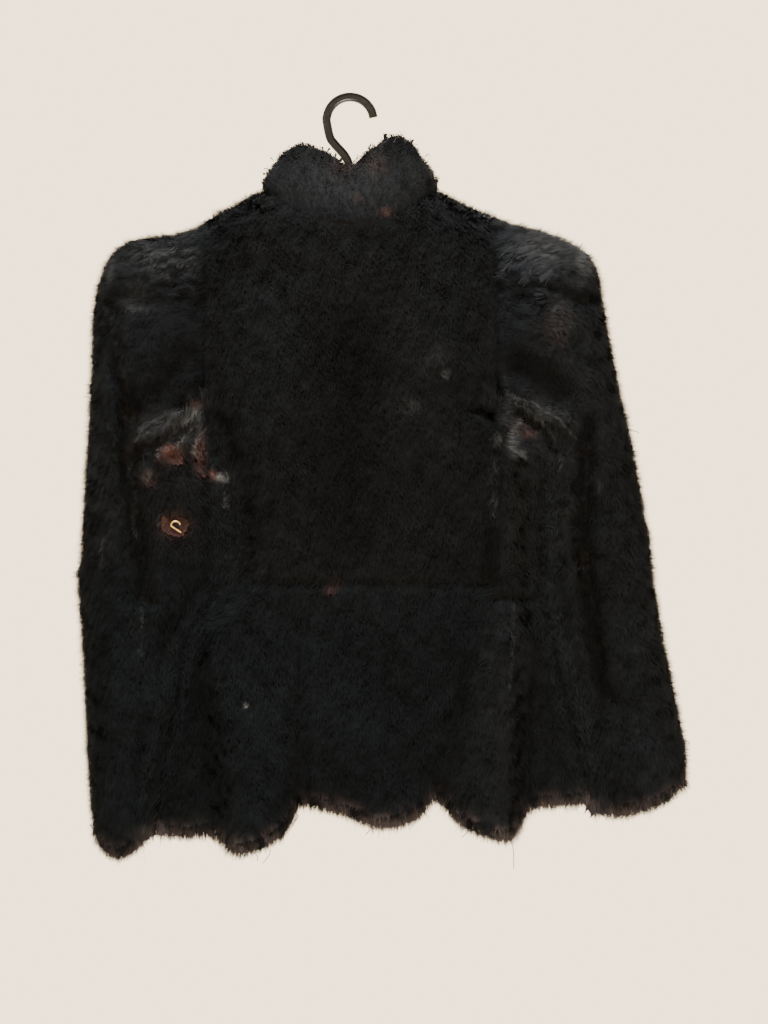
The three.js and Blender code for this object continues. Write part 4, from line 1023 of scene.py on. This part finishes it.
def panelFacts(panel):
    outside = panelGrid(panel, *panel["grid"])
    facts, run, side = bodyFacts(outside)
    x, z = outside[..., 0], outside[..., 2]
    # the armholes' edges lie under the sleeves' fur
    seam = np.minimum(farAway, side + farAway * (1 - smooth((armpit - z) / 20)))
    if "top" in panel:
        seam = np.minimum(seam, run)
    if "end" in panel:
        seam = np.minimum(seam, facts["toEnd"])
    else:
        facts["fringe"] += 1
    facts["seam"], facts["close"] = seam, closeAt(z, sideInset(outside))
    # fold heights, from which the fur's tone gets painted shade in creases and painted highlight on tops
    facts["form"] = foldsAt(bodyFolds, x if panel.get("back", True) else -x, z, 0.35)
    return facts


def panelHide(name, panel):
    half = [count // 2 + 1 for count in panel["grid"]]
    reach = {"tuck": panel["tuck"], "above": hideMake["above"]}
    broad = bodyFacts(panelGrid(panel, *half, 0.2, **reach))[0]["normal"]
    base = panelGrid(panel, *half, 0.6, **reach)
    under = np.zeros((*half, 1))
    under[:, [0, -1]] = hideMake["under"]
    under[0] = hideMake["under"] if "top" in panel else 0
    if "end" not in panel:
        base[..., 2] += hemShort(half[0])
    walls = [base - broad * (depth + under) for depth in hideMake["depths"]]
    return hideBetween(name, *walls, False, panel["look"])


for name, panel in panels.items():
    facts = panelFacts(panel)
    sheet = panelHide(name, panel)
    grids = [(facts, 1.0, 0.0)]
    if "end" not in panel:
        grids = hemmed(facts, facts["points"][-1] - facts["normal"][-1] * hideMake["rim"])
    growFur(name + "_fur", grids, panel["look"])
print("body panels built")

# side gores, whose hides reach on under their neighbours
gores = {
    "side_left": {"hand": -1, "look": "fur_cool", "grid": (120, 40), "hideGrid": (60, 24),
                  "reach": 1.14},
    "side_right": {"hand": 1, "look": "fur_black", "grid": (120, 40), "hideGrid": (60, 24),
                   "reach": 1.14},
}
for name, piece in gores.items():
    hand, rows = piece["hand"], piece["hideGrid"][0]
    outside = goreGrid(hand, *piece["grid"])
    facts = bodyFacts(outside)[0]
    facts["close"] = closeAt(outside[..., 2], sideInset(outside))
    facts["fringe"] += 1
    broad = bodyFacts(goreGrid(hand, *piece["hideGrid"], 0.2, piece["reach"]))[0]["normal"]
    base = goreGrid(hand, *piece["hideGrid"], 0.5, piece["reach"])
    base[..., 2] += hemShort(rows)
    walls = [base - broad * depth for depth in hideMake["depths"]]
    sheet = hideBetween(name, *walls, False, piece["look"])
    grids = hemmed(facts, outside[-1] - facts["normal"][-1] * hideMake["rim"])
    growFur(name + "_fur", grids, piece["look"])
print("gores built")

# sleeves
sleevePieces = {
    "sleeve_left_upper": {"side": "left", "look": "fur_black", "hangs": "back_upper_hide",
                          "torn": True},
    "sleeve_left_lower": {"side": "left", "look": "fur_cool", "hangs": "sleeve_left_upper_hide"},
    "sleeve_right_upper": {"side": "right", "look": "fur_black", "hangs": "back_upper_hide"},
    "sleeve_right_lower": {"side": "right", "look": "fur_black",
                           "hangs": "sleeve_right_upper_hide"},
}
sleeveMake = {"grid": (90, 150), "hideGrid": (34, 50), "into": 8.0, "sunk": 11.0, "rimSpan": 4,
              "cuffFringe": 0.7}


def sleeveFacts(sleeve, lower):
    outside = sleeveGrid(sleeve, lower, *sleeveMake["grid"])
    facts, run, _ = gridFacts(outside, outside.mean(1, keepdims=True) + 0 * outside, True)
    x, z = outside[..., 0], outside[..., 2]
    if lower:
        facts["seam"] = np.minimum(farAway, run + 0.5)
        facts["fringe"] += sleeveMake["cuffFringe"]
    # fold heights, from which the fur's tone gets painted shade in creases and painted highlight on tops
    facts["form"] = foldsAt(sleeveFolds + ([] if lower else gatherLines), x, z)
    innerEnd = curveAt([(row[3], row[2]) for row in sleeve["rows"]][1:], 1, z)
    facts["close"] = closeAt(z, np.abs(x - innerEnd))
    return facts


def sleeveWalls(sleeve, lower):
    make = sleeveMake
    walls = [sleeveGrid(sleeve, lower, *make["hideGrid"], depth, False) for depth in hideMake["depths"]]
    if lower:
        for wall in walls:
            wall[..., 2] += hemShort(make["hideGrid"][0], make["rimSpan"])
        return walls
    # the hide reaches on into the armhole
    starts = [wall[:1] + np.array([-make["into"] * sleeve["hand"], 0, 0]) for wall in walls]
    for start in starts:
        start[..., 2] -= make["sunk"] * smooth((-215 - start[..., 2]) / 85)
    return [np.concatenate(pair) for pair in zip(starts, walls)]


for name, piece in sleevePieces.items():
    sleeve, lower = sleeves[piece["side"]], name.endswith("lower")
    facts = sleeveFacts(sleeve, lower)
    sheet = hideBetween(name, *sleeveWalls(sleeve, lower), True, piece["look"])
    grids = [(facts, 1.0, 0.0)]
    if lower:
        inside = sleeveGrid(sleeve, lower, *sleeveMake["grid"], hideMake["rim"], False)
        grids = hemmed(facts, inside[-1])
    fur = growFur(name + "_fur", grids, piece["look"], torn="torn" in piece)
print("sleeves built")

# collar, fur on both faces
collarFur = {"grid": (16, 130), "hideGrid": (12, 90), "depth": 4.6, "lean": 44,
             "outside": (1.7, 0.0), "edge": (3.2, 0.2), "inside": (0.5, 0.0)}
outside, inside = (collarGrid(*collarFur["grid"], inward) for inward in (0.0, 1.0))
core = outside * np.array([0, 0, 1.0])
facts, within = (gridFacts(grid, core, False)[0] for grid in (outside, inside))
within["normal"] = -within["normal"]
rim = rimFacts(outside[-1], inside[-1], np.array([0, 0, 1.0]))
rows, columns = collarFur["hideGrid"]
turn = np.radians(np.linspace(-collarMake["turn"], collarMake["turn"], columns))
pelts = [collarGrid(rows, columns, inward) for inward in collarMake["pelt"]]
for grid in pelts:
    grid[..., 2] -= collarMake["short"] * np.linspace(0, 1, rows)[:, None]
    grid[0, :, 2] -= collarMake["sunk"] * (1 + np.cos(turn) ** 2)
sheet = hideBetween("collar", *pelts, False, "fur_black")
grids = [(facts, *collarFur["outside"]), (rim, *collarFur["edge"]), (within, *collarFur["inside"])]
fur = growFur("collar_fur", grids, "fur_black", collarFur["depth"], collarFur["lean"], upward=True)
print("collar built")

# torn hide on the left sleeve, with curled edges
tornMake = {"rings": 10, "around": 56, "thickness": 0.8, "curl": 1.2, "sunk": 2.4,
            "spread": 1.3, "inner": 0.04, "ragged": 0.5, "wrinkle": 0.5}
leftBack = sleeveGrid(sleeves["left"], False, 200, 300)[:, :150].reshape(-1, 3)


def sleeveBackAt(x, z):
    # depth of the left sleeve's back at a place, read from a fine grid
    near = ((leftBack[:, 0] - x) ** 2 + (leftBack[:, 2] - z) ** 2).argmin()
    return leftBack[near, 1]


def tornGrid(outline, make):
    # rings from the middle of an outline to its ragged edge, lying on the sleeve
    sides = len(outline)
    table = [(i - 1, *corner) for i, corner in enumerate(outline + outline[:3])]
    s = np.linspace(0, sides, make["around"])
    edge = np.stack([curveAt(table, 1, s), curveAt(table, 2, s)], -1)
    waver = make["ragged"] * np.stack([np.sin(s * 9.1), np.cos(s * 11.3)], -1)
    edge += waver * np.sin(s * np.pi / sides)[:, None]
    middle = edge[:-1].mean(0)
    rings = []
    for share in np.linspace(make["inner"], make["spread"], make["rings"]):
        flat = middle + (edge - middle) * share
        out = np.array([sleeveBackAt(a, b) for a, b in flat])
        wrinkle = make["wrinkle"] * np.sin(flat[:, 0] * 1.3 + 1) * np.cos(flat[:, 1] * 1.1)
        curl = make["curl"] * share ** 4 * (0.5 + 0.5 * np.sin(4 * np.pi * s / sides + middle[0]))
        rings.append(np.stack([flat[:, 0], out + make["sunk"] - curl + wrinkle, flat[:, 1]], -1))
    return np.array(rings)


tornPoints, tornFaces, first = [], [], 0
for outline in tornOutlines:
    grid = tornGrid(outline, tornMake)
    layers = [grid, grid + np.array([0, tornMake["thickness"], 0])]
    tornPoints += [layer.reshape(-1, 3) for layer in layers]
    i = first + np.arange(grid[..., 0].size).reshape(grid.shape[:2])
    k = i + i.size
    tornFaces += [quadsOf(i)[:, ::-1], quadsOf(k), quadsOf(np.stack([i[0], k[0]]))[:, ::-1],
                  quadsOf(np.stack([i[-1], k[-1]]))]
    first += 2 * i.size
torn = meshPiece("torn_hide", np.concatenate(tornPoints), np.concatenate(tornFaces))
shadeSmooth(torn)
dress(torn, tornHide)

# the brass fur hook on the torn place
hookMake = {"x": -172, "z": -425, "radius": 4.4, "height": 3.8, "wire": 0.9, "start": 5,
            "sweep": 190, "leg": (5.4, -7.2)}
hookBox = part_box("fur_hook")
middleY = (hookBox[0].y + hookBox[1].y) / 2 * 1000
turn = np.radians(hookMake["start"] + np.linspace(0, hookMake["sweep"], 44))
bend = np.stack([hookMake["radius"] * np.cos(turn), hookMake["height"] * np.sin(turn)], -1)
leg = mix(bend[-1], np.array(hookMake["leg"]), np.linspace(0, 1, 14)[1:, None])
x, z = np.concatenate([bend, leg]).T
path = np.stack([hookMake["x"] + x, 0 * x + middleY, hookMake["z"] + z], -1)
around = np.linspace(0, 2 * np.pi, 16, endpoint=False)
section = hookMake["wire"] * np.stack([np.cos(around), np.sin(around)], -1)
furHook = joinedSolids("brass_hook", [sweep(path, section)])
shadeSmooth(furHook)
dress(furHook, brassMaterial(), "fur_hook")

# a few long hairs that hang loose from the hems: where each starts, and how far it falls and drifts
looseHairs = [
    (157, -729, -34, 6, -50), (-78, -744, -14, -6, -46), (-146, -728, -12, 3, -22),
    (-232, -748, -8, -5, -12), (-96, -746, -10, 7, -46), (116, -724, -9, -4, -44),
    (300, -690, -10, 3, -12), (20, -722, -8, -3, -46), (-262, -560, -6, -9, 0), (334, -640, -5, 8, 0),
    (-258, -300, 4, -8, 0), (282, -330, -3, 9, 0),
]
hairSection = [(0.42, 0), (-0.21, 0.36), (-0.21, -0.36)]
hairs = []
for x, z, fall, sway, y in looseHairs:
    s = np.linspace(0, 1, 12)
    path = np.stack([x + sway * s + 1.6 * np.sin(4 * s), y + 0 * s, z + fall * s], -1)
    hairs.append(sweep(path, hairSection))
dress(joinedSolids("loose_hairs", hairs), finishes["fur_black"])
print("torn hide, fur hook and loose hairs built")

# floor, light and camera
studio = {"floorZ": -1.6, "floorRadius": 3.0, "floorSides": 96, "wall": (1.0, 0.805, 0.545, 1),
          "strength": 3.6, "paint": ((0.76, 0.73, 0.69, 1), (0.80, 0.77, 0.73, 1))}
floorMesh = bpy.data.meshes.new("floor")
rim = [(studio["floorRadius"] * math.cos(a), studio["floorRadius"] * math.sin(a), studio["floorZ"])
       for a in np.linspace(0, 2 * math.pi, studio["floorSides"], endpoint=False)]
floorMesh.from_pydata(rim, [], [tuple(range(len(rim)))])
floor = placed("floor", floorMesh)
material, tree, shader = nodeMaterial("floor_paint")
feed(tree, shader, {"Base Color": mixColor(tree, noiseOf(tree, 6, 3), *studio["paint"]),
                    "Roughness": 0.8})
floor.data.materials.append(material)

world = bpy.data.worlds.new("studio")
world.use_nodes = True
bpy.context.scene.world = world
feed(world.node_tree, world.node_tree.nodes["Background"],
     {"Color": studio["wall"], "Strength": studio["strength"]})


def softLight(name, place, target, size, power):
    light = bpy.data.lights.new(name, "AREA")
    light.shape, light.size, light.energy = "DISK", size, power
    lamp = placed(name, light)
    lamp.location = place
    lamp.rotation_euler = (Vector(target) - Vector(place)).to_track_quat("-Z", "Y").to_euler()


softLight("key", (-0.4, -1.3, 1.5), (0, 0, -0.35), 1.0, 160)
softLight("fill", (1.7, -1.8, 0.1), (0, 0, -0.4), 1.2, 30)
softLight("rear", (0.4, 2.0, 1.2), (0, 0, -0.4), 1.4, 80)

view = {"distance": 2.6, "plane": -0.008, "centerX": 0.034, "centerZ": -0.412, "tall": 1.024,
        "sensor": 36, "clip": 50}
eye = bpy.data.cameras.new("camera")
eye.lens = view["sensor"] * view["distance"] / view["tall"]
eye.sensor_width, eye.clip_end = view["sensor"], view["clip"]
camera = placed("camera", eye)
camera.location = (view["centerX"], view["plane"] - view["distance"], view["centerZ"])
camera.rotation_euler = (math.pi / 2, 0, 0)
bpy.context.scene.camera = camera
print("blades", sum(trianglesGrown.values()), trianglesGrown)
